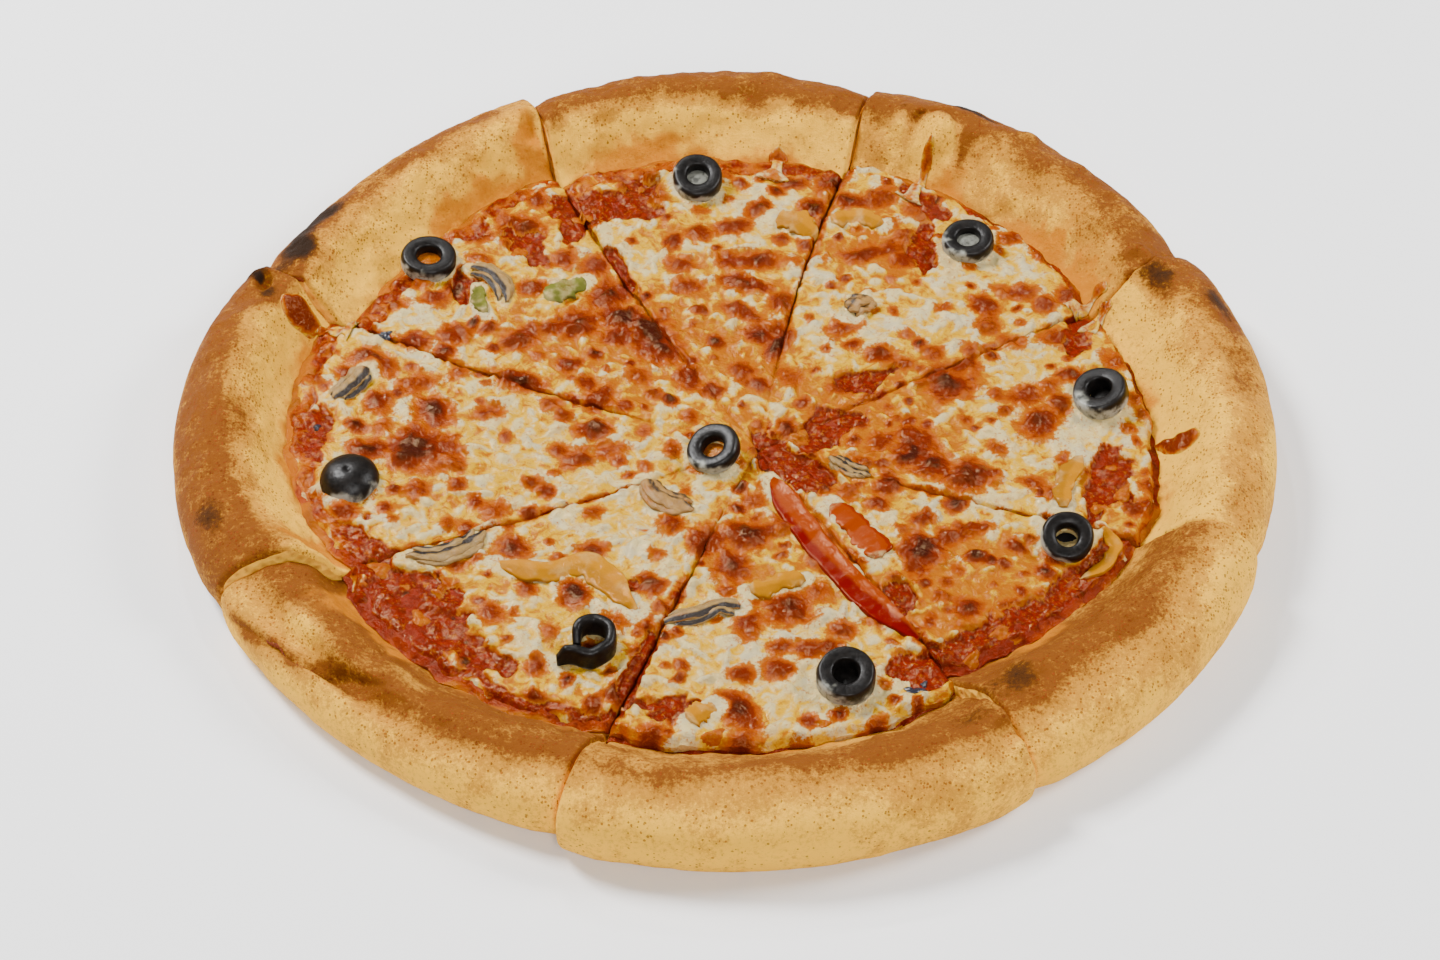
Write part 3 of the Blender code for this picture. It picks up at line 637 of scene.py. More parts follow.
LATTICE = np.random.default_rng(LATTICE_SEED).random((LATTICE_SIZE,) * 3) * 2.0 - 1.0


def noise(x, y, z, size, shift=0.0):
    """Smooth random values from -1 to 1 with bumps of about the given size."""
    places = [np.asarray(axis, float) / size + shift + 7.3 * k
              for k, axis in enumerate((x, y, z))]
    cells = [np.floor(axis).astype(int) for axis in places]
    parts = [smooth(axis - cell) for axis, cell in zip(places, cells)]
    total = 0.0
    for corner in range(8):
        weight = 1.0
        index = []
        for k in range(3):
            step = (corner >> k) & 1
            weight = weight * (parts[k] if step else 1.0 - parts[k])
            index.append((cells[k] + step) % LATTICE_SIZE)
        total = total + weight * LATTICE[index[0], index[1], index[2]]
    return total


def rough_noise(x, y, z, size, layers, shift=0.0):
    """Several layers of noise, each half the size and strength of the last."""
    total = 0.0
    strength = 1.0
    for layer in range(layers):
        total = total + strength * noise(x, y, z, size / 2.0 ** layer, shift + 3.1 * layer)
        strength *= 0.5
    return total


def rough_at(points, size, layers, shift=0.0):
    """Several layers of noise at points."""
    return rough_noise(points[..., 0], points[..., 1], points[..., 2], size, layers, shift)


# Shape of the slices


def cut_turn(index, reach, side):
    """Turn about the hub of one face of a cut at a reach; side is 1 or -1."""
    rim_angle, bow, near, far = CUTS[index]
    angle = math.radians(rim_angle)
    dx = ROUND_RADIUS * math.cos(angle) - HUB[0]
    dy = ROUND_RADIUS * math.sin(angle) - HUB[1]
    length = math.hypot(dx, dy)
    share = np.minimum(1.0, reach / length)
    half = (near + (far - near) * share) * CUT_LOOK
    offset = bow * np.sin(math.pi * share) + side * half
    return math.atan2(dy, dx) + np.arcsin(np.clip(offset / reach, -0.9, 0.9))


def slice_turns(index, reach):
    """Turns of a slice's two cut faces at a reach from the hub."""
    first = cut_turn(index, reach, 1.0)
    second = cut_turn((index + 1) % len(CUTS), reach, -1.0)
    second = first + (second - first + math.pi) % math.tau - math.pi
    return first, second


def station_turn(index, reach, share):
    """Turn of a station at a reach, between the slice's two cut faces."""
    first, second = slice_turns(index, reach)
    return first + (second - first) * share


def tip_reach(index):
    """Reach at which a slice's two cut faces meet."""
    reach = 0.4
    for _ in range(60):
        first, second = slice_turns(index, np.array([reach]))
        if 0.02 < (second - first)[0] < math.pi:
            return reach
        reach += 0.1
    return reach


def slice_share(index, angle):
    """Share of the way round a slice, 0 at its first cut and 1 at its second."""
    first = CUTS[index][0]
    span = (CUTS[(index + 1) % len(CUTS)][0] - first) % 360.0
    return np.clip(((angle - first + 90.0) % 360.0 - 90.0) / span, 0.0, 1.0)


def slice_at(angle):
    """Index of the slice that an angle in degrees lies in."""
    return sum(angle >= cut[0] for cut in CUTS) - 1


def rim_radius(index, angle):
    """Outer radius of a slice at an angle; its corners draw in a little at the cuts."""
    share = slice_share(index, angle)
    corner = np.minimum(share, 1.0 - share)
    draw_in = 1.1 * (1.0 - smooth(corner / 0.09))
    return blend(SLICES[index]["radius"], share) - draw_in


def hub_place(reach, turn):
    """Places at a reach and a turn from the hub."""
    return HUB[0] + reach * np.cos(turn), HUB[1] + reach * np.sin(turn)


def station_rim(index, share):
    """Rim reach and angle of each station, where its own turn meets the edge."""
    reach = np.full_like(share, 140.0)
    angle = share * 0.0
    for _ in range(12):
        turn = station_turn(index, reach, share)
        x, y = hub_place(reach, turn)
        angle = np.degrees(np.arctan2(y, x))
        reach = reach + rim_radius(index, angle) - np.hypot(x, y)
    return reach, angle


def swell(angle, inset):
    """Height that the crust's swellings add."""
    total = 0.0
    for centre, depth, along, across, height in CRUST_SWELLS:
        part = hump(angle_gap(angle, centre) / along)
        total = total + height * part * hump((inset - depth) / across)
    return total


def crust_steps(inner, outer, under):
    """Steps along the crust's outline: place across the crust, and the kind of each."""
    wall = [("wall", 1.0 - k / inner) for k in range(inner + 1)]
    side = [("side", (k + 1) / outer) for k in range(outer)]
    low = [("under", (k + 1) / (under + 1)) for k in range(under)]
    return wall + side + low + [("flat", 1.0)]


def crust_point(index, angle, kind, step):
    """Inset, height and place across the crust for one step of its outline."""
    share = slice_share(index, angle)
    crest = blend(SLICES[index]["crest"], share)
    rim = blend(SLICES[index]["rim"], share)
    crest_in = 0.42 * rim
    side = 0.44 * crest
    if kind == "wall":
        inset = crest_in + (rim - crest_in) * step
        height = BASE_TOP + (crest - BASE_TOP) * smooth(1.0 - step) ** 0.85
        across = -step + 0.0 * angle
    elif kind == "side":
        lean = step * math.pi / 2.0
        inset = crest_in * (1.0 - math.sin(lean) ** 1.1)
        height = side + (crest - side) * abs(math.cos(lean)) ** 0.8
        across = step + 0.0 * angle
    elif kind == "under":
        lean = step * math.pi / 2.0
        inset = 6.5 * (1.0 - math.cos(lean)) + 0.0 * angle
        height = side - side * math.sin(lean)
        across = 1.0 + 0.5 * step + 0.0 * angle
    else:
        inset = UNDERSIDE_IN + 0.0 * angle
        height = 0.0 * angle
        across = 1.6 + 0.0 * angle
    lifted = swell(angle, inset) if kind in ("wall", "side") and step < 1.0 else 0.0
    if kind == "wall":
        lifted = lifted * smooth((1.0 - step) / 0.1)
    return inset, height + lifted, across


def even_shares(count):
    """Shares from 0 to 1 that crowd a little at both ends."""
    even = np.linspace(0.0, 1.0, count)
    return even - 0.4 * np.sin(math.tau * even) / math.tau


def grid_faces(rows, columns):
    """Four-sided faces of a grid of points stored column by column."""
    column, row = np.meshgrid(np.arange(columns - 1), np.arange(rows - 1), indexing="ij")
    start = (column * rows + row).ravel()
    return np.stack([start, start + rows, start + rows + 1, start + 1], axis=1)


# Meshes and materials


def new_mesh(name, points, faces, layers, materials, spots=None):
    """Object from points in millimetres, with colour layers and materials."""
    mesh = bpy.data.meshes.new(name)
    mesh.from_pydata((np.asarray(points, float) * MM).tolist(), [], [list(f) for f in faces])
    for layer_name, values in layers.items():
        layer = mesh.attributes.new(layer_name, "FLOAT_COLOR", "POINT")
        layer.data.foreach_set("color", np.asarray(values, np.float32).ravel())
    for finish in materials:
        mesh.materials.append(finish)
    mesh.polygons.foreach_set("use_smooth", [True] * len(mesh.polygons))
    if spots is not None:
        mesh.polygons.foreach_set("material_index", spots)
    mesh.validate()
    mesh.update()
    obj = bpy.data.objects.new(name, mesh)
    bpy.context.scene.collection.objects.link(obj)
    return obj


def layer_of(*channels):
    """Colour layer of up to four channels between 0 and 1."""
    count = len(channels[0])
    made = np.zeros((count, 4), np.float32)
    for k, channel in enumerate(channels):
        made[:, k] = np.clip(channel, 0.0, 1.0)
    return made


def on_body(obj):
    """The piece rides on the body."""
    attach(obj, "root")


def take_node(obj, node):
    """The piece stands for its node, which is hidden, and goes on the body."""
    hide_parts(node)
    on_body(obj)


class Finish:
    """Builds one material's nodes."""

    def __init__(self, name):
        self.material = bpy.data.materials.new(name)
        self.material.use_nodes = True
        self.tree = self.material.node_tree
        self.shader = self.tree.nodes["Principled BSDF"]
        self.coords = self.tree.nodes.new("ShaderNodeTexCoord").outputs["Object"]
        self.colour = None

    def join(self, source, target):
        """Link two sockets."""
        self.tree.links.new(source, target)

    def put(self, socket, value):
        """Set a socket to a number or colour, or link it."""
        if isinstance(value, bpy.types.NodeSocket):
            self.join(value, socket)
        elif isinstance(value, (tuple, list)) or hasattr(value, "__len__"):
            socket.default_value = (*tuple(value)[:3], 1.0)
        else:
            socket.default_value = value

    def layer(self, name):
        """Channels of a colour layer: red, green, blue and alpha."""
        node = self.tree.nodes.new("ShaderNodeAttribute")
        node.attribute_type = "GEOMETRY"
        node.attribute_name = name
        split = self.tree.nodes.new("ShaderNodeSeparateColor")
        self.join(node.outputs["Color"], split.inputs["Color"])
        return split.outputs[0], split.outputs[1], split.outputs[2], node.outputs["Alpha"]

    def speckle(self, size, detail=3.0, roughness=0.6, stir=0.0):
        """Noise from 0 to 1 with bumps of a size in millimetres, stirred into wisps."""
        node = self.tree.nodes.new("ShaderNodeTexNoise")
        node.inputs["Scale"].default_value = 1.0 / (size * MM)
        node.inputs["Distortion"].default_value = stir
        node.inputs["Detail"].default_value = detail
        node.inputs["Roughness"].default_value = roughness
        self.join(self.coords, node.inputs["Vector"])
        return node.outputs[0]

    def scattered(self, size):
        """Scattered points that lie a size in millimetres apart."""
        node = self.tree.nodes.new("ShaderNodeTexVoronoi")
        node.inputs["Scale"].default_value = 1.0 / (size * MM)
        self.join(self.coords, node.inputs["Vector"])
        return node

    def cells(self, size):
        """Distance to scattered points, for bubbles and crumbs."""
        return self.scattered(size).outputs["Distance"]

    def dots(self, size, share):
        """Round dots, each there by chance with a share, and a random tone for each."""
        node = self.scattered(size)
        split = self.tree.nodes.new("ShaderNodeSeparateColor")
        self.join(node.outputs["Color"], split.inputs["Color"])
        kept = self.math("LESS_THAN", split.outputs[0], share)
        reach = self.span(split.outputs[1], 0.0, 1.0, 0.30, 0.52)
        inside = self.math("SUBTRACT", reach, node.outputs["Distance"])
        return self.times(self.span(inside, 0.0, 0.10), kept), split.outputs[2]

    def math(self, kind, first, second):
        """Two values put together by one kind of sum."""
        node = self.tree.nodes.new("ShaderNodeMath")
        node.operation = kind
        self.put(node.inputs[0], first)
        self.put(node.inputs[1], second)
        return node.outputs[0]

    def plus(self, first, second):
        """Sum of two values."""
        return self.math("ADD", first, second)

    def times(self, first, second):
        """Product of two values."""
        return self.math("MULTIPLY", first, second)

    def sway(self, value, noise, amount):
        """Value moved up and down by noise about its middle."""
        return self.plus(value, self.times(self.math("SUBTRACT", noise, 0.5), amount))

    def span(self, value, low, high, to_low=0.0, to_high=1.0):
        """Value stretched from one span to another, smooth at both ends."""
        node = self.tree.nodes.new("ShaderNodeMapRange")
        node.interpolation_type = "SMOOTHSTEP"
        self.put(node.inputs["Value"], value)
        node.inputs["From Min"].default_value = low
        node.inputs["From Max"].default_value = high
        node.inputs["To Min"].default_value = to_low
        node.inputs["To Max"].default_value = to_high
        return node.outputs["Result"]

    def mix(self, share, first, second, kind="MIX"):
        """Mix of two colours."""
        node = self.tree.nodes.new("ShaderNodeMix")
        node.data_type = "RGBA"
        node.blend_type = kind
        self.put(node.inputs[0], share)
        self.put(node.inputs[6], first)
        self.put(node.inputs[7], second)
        return node.outputs[2]

    def start(self, share, first, second):
        """Begin with a mix of two colours."""
        self.colour = self.mix(share, first, second)

    def paint(self, share, colour):
        """Cover a share of what is there with a colour."""
        self.colour = self.mix(share, self.colour, colour)

    def bump(self, height, distance, strength=1.0):
        """Bump the surface by a height, with its depth in millimetres."""
        node = self.tree.nodes.new("ShaderNodeBump")
        node.inputs["Distance"].default_value = distance * MM
        node.inputs["Strength"].default_value = strength
        self.join(height, node.inputs["Height"])
        self.join(node.outputs["Normal"], self.shader.inputs["Normal"])

    def gloss(self, roughness, soft=0.0, shine=0.5, tint=(1.0, 1.0, 1.0)):
        """Set the shader's colour, roughness, softness, shine and colour of shine."""
        self.shader.inputs["Specular IOR Level"].default_value = shine
        self.shader.inputs["Specular Tint"].default_value = (*tint, 1.0)
        self.put(self.shader.inputs["Base Color"], self.colour)
        self.put(self.shader.inputs["Roughness"], roughness)
        if soft > 0.0:
            self.shader.inputs["Subsurface Weight"].default_value = soft
            self.shader.inputs["Subsurface Radius"].default_value = (1.0, 0.45, 0.2)
            self.shader.inputs["Subsurface Scale"].default_value = 0.002
        return self.material


def between(first, second, share):
    """Colour part of the way from one to another."""
    return tuple(a + (b - a) * share for a, b in zip(tuple(first)[:3], tuple(second)[:3]))


def shade(colour, factor):
    """Colour made lighter or darker."""
    return tuple(min(1.0, part * factor) for part in tuple(colour)[:3])


def crust_finish(look):
    """Baked dough: pale to brown, burnt spots, orange oil and clinging bran."""
    made = Finish("crust")
    brown, char, oil, dust = made.layer("bake")
    wide = made.speckle(7.0, 4.0)
    fine = made.speckle(1.3, 5.0, 0.7)
    grain = made.speckle(0.42, 3.0, 0.8)
    amount = made.sway(brown, wide, 0.9)
    amount = made.sway(amount, fine, 1.2)
    amount = made.sway(amount, made.speckle(0.6, 2.0), 0.5)
    made.start(made.span(amount, -0.05, 0.46), look.pale, look.golden)
    made.paint(made.span(amount, 0.44, 1.0), look.brown)
    near_patch = made.span(made.speckle(4.0, 3.0), 0.40, 0.62, 0.25, 1.0)
    chance = made.plus(made.times(dust, 0.72), 0.14)
    speck, tone = made.dots(0.8, made.times(chance, near_patch))
    speck_colour = made.mix(tone, shade(look.bran, 0.42), shade(look.bran, 1.15))
    made.paint(made.times(speck, 0.66), speck_colour)
    soaked = made.times(oil, made.span(fine, 0.15, 0.7, 0.72, 1.0))
    made.paint(soaked, look.oil)
    burnt = made.sway(char, fine, 0.55)
    burnt = made.times(made.span(burnt, 0.30, 0.95), made.span(char, 0.02, 0.2))
    made.paint(made.span(burnt, 0.0, 0.45), shade(look.brown, 0.42))
    made.paint(made.span(burnt, 0.25, 1.0), look.char)
    rough = made.span(oil, 0.1, 0.9, 0.82, 0.42)
    relief = made.plus(made.times(fine, 0.6), made.times(grain, 0.5))
    relief = made.plus(relief, made.times(speck, 0.35))
    made.bump(relief, look.relief / MM)
    return made.gloss(rough, soft=0.03, shine=0.2, tint=(1.0, 0.75, 0.40))


def crumb_finish(look):
    """Open crumb of the cut dough."""
    made = Finish("crumb")
    holes = made.cells(2.6)
    fine = made.speckle(0.8, 3.0)
    made.start(made.span(holes, 0.1, 0.5), look.golden, look.pale)
    made.paint(made.span(fine, 0.35, 0.75), shade(look.pale, 0.9))
    made.bump(holes, 0.8)
    return made.gloss(0.85)


def underside_finish(look):
    """Baked underside with darker oven spots."""
    made = Finish("underside")
    wide = made.speckle(14.0, 4.0)
    fine = made.speckle(1.6, 4.0)
    made.start(made.span(wide, 0.35, 0.62), look.golden, look.brown)
    made.paint(made.span(made.cells(9.0), 0.30, 0.05), shade(look.brown, 0.45))
    made.paint(made.span(fine, 0.55, 0.8), shade(look.golden, 1.1))
    made.bump(fine, 0.4)
    return made.gloss(0.85)


def sauce_finish(look):
    """Cooked tomato with pulp and orange oil."""
    made = Finish("tomato_sauce")
    thick, oil, dark, _ = made.layer("cook")
    pulp = made.speckle(2.2, 5.0, 0.65)
    fine = made.speckle(0.7, 3.0)
    made.start(made.span(pulp, 0.3, 0.7), look.tomato_dark, look.tomato)
    made.paint(made.times(oil, made.span(pulp, 0.30, 0.55)), look.tomato_oil)
    made.paint(made.span(oil, 0.70, 1.0), look.butter)
    made.paint(made.times(dark, 0.8), shade(look.tomato_dark, 0.6))
    made.paint(made.times(thick, made.span(fine, 0.62, 0.8)), shade(look.tomato, 1.3))
    made.bump(made.plus(pulp, made.times(fine, 0.35)), 0.7)
    return made.gloss(0.18, shine=0.30, tint=(1.0, 0.40, 0.16))


def cheese_finish(look):
    """Melted cheese: cream, orange oil, browned blisters and tomato at thin places."""
    made = Finish("cheese_melt")
    cream, brown, scorch, tomato = made.layer("melt")
    wisp = made.speckle(4.4, 4.0, 0.55, 1.4)
    fine = made.speckle(1.1, 3.0, 0.6)
    pale = made.sway(cream, wisp, 1.9)
    pale = made.sway(pale, fine, 0.45)
    stain = made.speckle(6.5, 4.0, 0.6, 1.0)
    glaze = made.mix(made.span(stain, 0.44, 0.66, 0.0, 0.75), look.butter,
                     between(look.butter, look.tomato_oil, 0.4))
    glaze = made.mix(made.span(stain, 0.42, 0.26, 0.0, 0.8), glaze, look.honey)
    made.start(made.span(pale, 0.0, 0.36), glaze, look.honey)
    veil = made.speckle(8.0, 4.0, 0.6, 0.8)
    milky = made.mix(made.span(veil, 0.36, 0.56, 0.42, 0.0), look.cream, look.film)
    milky = made.mix(made.span(veil, 0.52, 0.68, 0.0, 0.22), milky, look.toast)
    made.paint(made.span(pale, 0.34, 0.86), milky)
    made.paint(made.span(pale, 0.95, 1.40, 0.0, 0.6), shade(look.cream, 1.12))
    pulp = made.speckle(1.7, 4.0, 0.7)
    red = made.sway(tomato, wisp, 1.2)
    tomato_mix = made.mix(made.span(pulp, 0.35, 0.65), look.tomato_dark, look.tomato)
    tomato_mix = made.mix(made.span(pulp, 0.60, 0.75), tomato_mix, look.tomato_oil)
    made.paint(made.span(red, 0.20, 0.50), between(look.butter, look.tomato_oil, 0.6))
    made.paint(made.span(red, 0.46, 0.80), tomato_mix)
    spot = made.sway(brown, fine, 0.7)
    made.paint(made.span(spot, 0.02, 0.20), look.butter)
    made.paint(made.span(spot, 0.16, 0.42), look.toast)
    made.paint(made.span(spot, 0.40, 0.78), look.blister)
    burnt = made.sway(scorch, fine, 0.5)
    made.paint(made.span(burnt, 0.25, 0.80), look.scorch)
    made.bump(made.plus(made.times(wisp, 0.9), made.times(fine, 0.6)), 0.6)
    return made.gloss(made.span(fine, 0.3, 0.7, 0.08, 0.18), shine=0.30,
                      tint=(1.0, 0.62, 0.26))


def olive_finish(look):
    """Black olive with a dull cut face, a painted sheen along the rim of that face, and a film of
    cheese where it touches.
    """
    made = Finish("black_olive")
    film, edge, _, _ = made.layer("film_and_sheen")
    fine = made.speckle(0.8, 4.0)
    patch = made.speckle(2.2, 3.0)
    made.start(made.span(patch, 0.35, 0.7), shade(look.olive, 0.55), shade(look.olive, 1.35))
    # Painted sheen: the rim of each cut face is made lighter, as a highlight would make it
    made.paint(made.times(edge, 0.4), shade(look.olive, 2.2))
    cover = made.times(film, made.span(patch, 0.30, 0.55, 0.25, 1.0))
    made.paint(cover, look.film)
    made.bump(fine, 0.10)
    return made.gloss(made.span(fine, 0.3, 0.7, 0.30, 0.46), shine=0.20)


def mushroom_finish(look):
    """Cooked mushroom: cream flesh with dark gills along one side."""
    made = Finish("mushroom")
    gill, line, oil, _ = made.layer("flesh")
    fine = made.speckle(0.8, 4.0)
    wide = made.speckle(3.0, 3.0)
    made.start(made.span(wide, 0.3, 0.7), shade(look.mushroom, 0.72), look.mushroom)
    made.paint(made.times(line, 0.55), shade(look.gills, 1.8))
    made.paint(made.times(oil, 0.6), look.butter)
    made.paint(made.span(gill, 0.25, 0.8), look.gills)
    made.bump(made.plus(fine, line), 0.3)
    return made.gloss(0.32, soft=0.04, shine=0.2)


def pepper_finish(name, look, skin, flesh):
    """Roasted pepper: glossy skin on one side and softer flesh on the other."""
    made = Finish(name)
    side, brown, cheese, _ = made.layer("flesh")
    wide = made.speckle(3.5, 4.0)
    fine = made.speckle(0.9, 3.0)
    split = made.sway(side, wide, 0.25)
    made.start(made.span(split, 0.40, 0.60), skin, flesh)
    made.paint(made.span(fine, 0.55, 0.9, 0.0, 0.25), flesh)
    made.paint(made.times(cheese, made.span(wide, 0.35, 0.60)), look.cream)
    made.paint(made.times(brown, made.span(fine, 0.3, 0.7)), look.blister)
    made.bump(made.plus(made.times(wide, 0.8), made.times(fine, 0.3)), 0.4)
    return made.gloss(0.10, shine=0.16, tint=(1.0, 0.5, 0.2))


def grain_finish(look):
    """Semolina and bran, from pale to dark brown."""
    made = Finish("semolina")
    tone, _, _, _ = made.layer("tone")
    made.start(made.span(tone, 0.0, 0.7), shade(look.bran, 0.4), look.bran)
    made.paint(made.span(tone, 0.9, 1.0), shade(look.golden, 0.7))
    return made.gloss(0.8)


# Crust


def crust_masks(index, angle, across, x, y, z):
    """Browning, char, oil and clinging semolina at points of the crust."""
    entry = SLICES[index]
    wide = rough_noise(x, y, z, 26.0, 3)
    patch = rough_noise(x, y, z, 9.0, 3, 5.0)
    brown = np.interp(across + 0.10 * wide + 0.06 * patch, ACROSS_PLACES, entry["bake"])
    brown = brown + 0.17 * wide + 0.13 * patch
    char = 0.10 * smooth((wide + patch - 1.0) / 0.5) * smooth((0.5 - abs(across - 0.3)) / 0.3)
    for centre, place, along, wide_across, add_brown, add_char in CRUST_MARKS:
        gap = angle_gap(angle, centre) / along + 0.30 * patch
        part = np.exp(-1.2 * (gap ** 2 + ((across - place) / wide_across + 0.25 * wide) ** 2))
        brown = brown + add_brown * part
        char = char + add_char * part ** 1.3
    climbed = np.full_like(angle, 0.10 * entry["glaze"] - 0.03)
    for centre, along, share in OIL_CLIMBS:
        climbed = climbed + share * hump(angle_gap(angle, centre) / along)
    streak = rough_noise(angle * 2.3, angle * 0.0, z * 0.25, 5.0, 3, 7.0)
    climbed = climbed * (1.0 + 0.35 * patch + 0.45 * streak) + 0.03 * patch
    mottled = rough_noise(x, y, z, 3.6, 3, 13.0)
    from_foot = across + 0.82 + 0.09 * mottled
    oil = smooth((climbed - from_foot) / 0.24) * (across < 0.0)
    faint = 0.18 * smooth((1.5 * climbed - from_foot) / 0.40) * (across < 0.0)
    dust_side = 0.35 + 0.65 * np.abs(np.cos(np.radians(angle)))
    dust = dust_side * smooth((across + 0.72 + 0.2 * patch) / 0.4) * smooth((0.94 - across) / 0.4)
    dust = dust * (0.75 + 0.35 * wide)
    return brown, char, np.maximum(oil, faint), dust


def crust_relief(index, angle, across, x, y, z):
    """Small unevenness of the baked skin, in millimetres along the surface's normal."""
    lump = rough_noise(x, y, z, 15.0, 3, 2.0)
    mid = rough_noise(x, y, z, 6.5, 2, 17.0)
    small = rough_noise(x, y, z, 3.2, 3, 9.0)
    fade = smooth((across + 1.0) / 0.25) * smooth((1.5 - across) / 0.3)
    blister = np.clip(noise(x, y, z, 6.5, 4.0) - 0.42, 0.0, 1.0) * 1.6
    folds = 0.0
    for centre, place, along, wide, lip, lip_wide, dish, foot_share in CRUST_FOLDS:
        away = np.hypot(angle_gap(angle, centre) / along, (across - place) / wide) + 0.25 * mid
        side = foot_share + (1.0 - foot_share) * smooth(0.5 + (across - place) / wide)
        folds = folds + lip * side * np.exp(-((away - 1.1) / lip_wide) ** 2)
        folds = folds - dish * (1.0 - smooth(away / 0.95))
    crease = 0.0
    if SLICES[index]["name"] == "near_left":
        line = 0.80 - 0.043 * angle_gap(angle, 211.0) + 0.05 * mid
        along = hump(angle_gap(angle, 217.5) / 14.0)
        crease = along * (1.6 * smooth((across - line) / 0.10) * smooth((1.1 - across) / 0.3)
                          - 3.6 * np.exp(-((across - line) / 0.07) ** 2))
    return fade * (0.85 * lump + 0.42 * mid + 0.26 * small + blister - 0.15 + folds + crease)


def crust_slice(index, finishes):
    """Baked dough of one slice with its relief, cut faces and underside."""
    shares = even_shares(CRUST_STATIONS)
    reach_out, angle = station_rim(index, shares)
    columns = []
    across_all = []
    tip = tip_reach(index)
    foot_in, _, _ = crust_point(index, angle, "wall", 1.0)
    for row in range(INNER_ROWS):
        reach = tip + (reach_out - foot_in - tip) * (row / INNER_ROWS) ** 1.1
        turn = station_turn(index, reach, shares)
        height = np.full_like(turn, BASE_TOP)
        columns.append(np.stack([*hub_place(reach, turn), height], axis=1))
        across_all.append(np.full_like(turn, -1.0))
    for kind, step in crust_steps(*CRUST_STEPS):
        inset, height, across = crust_point(index, angle, kind, step)
        reach = reach_out - inset
        turn = station_turn(index, reach, shares)
        columns.append(np.stack([*hub_place(reach, turn), height], axis=1))
        across_all.append(across)
    grid = np.stack(columns, axis=1)
    across = np.stack(across_all, axis=1)
    rows = grid.shape[1]
    around = np.gradient(grid, axis=0)
    along = np.gradient(grid, axis=1)
    normal = np.cross(along, around)
    size = np.linalg.norm(normal, axis=2, keepdims=True)
    normal = normal / np.maximum(size, 1e-9)
    x, y, z = (grid[:, :, k] for k in range(3))
    wide_angle = np.repeat(angle[:, None], rows, axis=1)
    relief = crust_relief(index, wide_angle, across, x, y, z)
    outward = smooth((across - 0.35) / 0.4)
    relief = relief - outward * np.maximum(relief, 0.0) * 0.75 - SKIN_IN * smooth(across + 0.6)
    relief = relief - 0.55 * outward * np.minimum(relief, 0.0)
    edge = np.minimum(shares, 1.0 - shares) * 0.78 * reach_out
    rounding = rounded(edge, 1.6)
    relief = relief - rounding[:, None] * smooth((across + 0.95) / 0.2)
    flat_foot = smooth((1.58 - across) / 0.05)
    grid = grid + normal * (relief * flat_foot)[:, :, None]
    grid[:, :, 2] = np.maximum(grid[:, :, 2], 0.0)
    x, y, z = (grid[:, :, k].ravel() for k in range(3))
    masks = crust_masks(index, wide_angle.ravel(), across.ravel(), x, y, z)
    points = grid.reshape(-1, 3)
    faces = grid_faces(rows, CRUST_STATIONS)
    spots = np.zeros(len(faces), int)
    layer = layer_of(*masks)
    points, faces, spots, layer = add_cut_faces(points, faces, spots, layer, rows)
    points, faces, spots, layer = add_underside(points, faces, spots, layer, index, shares,
                                                reach_out - UNDERSIDE_IN, tip)
    obj = new_mesh("crust_" + SLICES[index]["name"], points, faces, {"bake": layer}, finishes,
                   spots)
    take_node(obj, "dough_" + SLICES[index]["name"])


def add_cut_faces(points, faces, spots, layer, rows):
    """Close both cut faces of a slice with rows of crumb between its outline and its foot."""
    new_faces = []
    new_points = [points]
    new_layers = [layer]
    start = len(points)
    for station, flip in ((0, False), (CRUST_STATIONS - 1, True)):
        outline = points[station * rows:(station + 1) * rows]
        low = outline.copy()
        low[:, 2] = 0.0
        last = outline[-1]
        farther = (np.hypot(outline[:, 0] - HUB[0], outline[:, 1] - HUB[1])
                   > math.hypot(last[0] - HUB[0], last[1] - HUB[1]))
        low[farther, :2] = last[:2]
        strips = []
        for share in (0.0, 0.5, 1.0):
            strips.append(outline * (1.0 - share) + low * share)
        block = np.concatenate(strips)
        new_points.append(block)
        new_layers.append(np.tile(layer[station * rows:(station + 1) * rows], (3, 1)) * 0.6)
        for strip in range(2):
            for k in range(rows - 1):
                a = start + strip * rows + k
                corners = [a, a + 1, a + rows + 1, a + rows]
                new_faces.append(corners[::-1] if flip else corners)
        start += len(block)
    faces = np.concatenate([faces, np.array(new_faces)])
    spots = np.concatenate([spots, np.ones(len(new_faces), int)])
    return np.concatenate(new_points), faces, spots, np.concatenate(new_layers)


def add_underside(points, faces, spots, layer, index, shares, reach, tip):
    """Flat underside of a slice from its tip to the outer curve."""
    bands = 12
    columns = []
    for band in range(bands + 1):
        here = tip + (reach - tip) * band / bands
        turn = station_turn(index, here, shares)
        columns.append(np.stack([*hub_place(here, turn), np.zeros_like(turn)], axis=1))
    grid = np.stack(columns, axis=1)
    made = grid_faces(bands + 1, len(shares))[:, ::-1] + len(points)
    extra = np.zeros((grid.shape[0] * grid.shape[1], 4), np.float32)
    return (np.concatenate([points, grid.reshape(-1, 3)]), np.concatenate([faces, made]),
            np.concatenate([spots, np.full(len(made), 2)]), np.concatenate([layer, extra]))


# Cheese and sauce


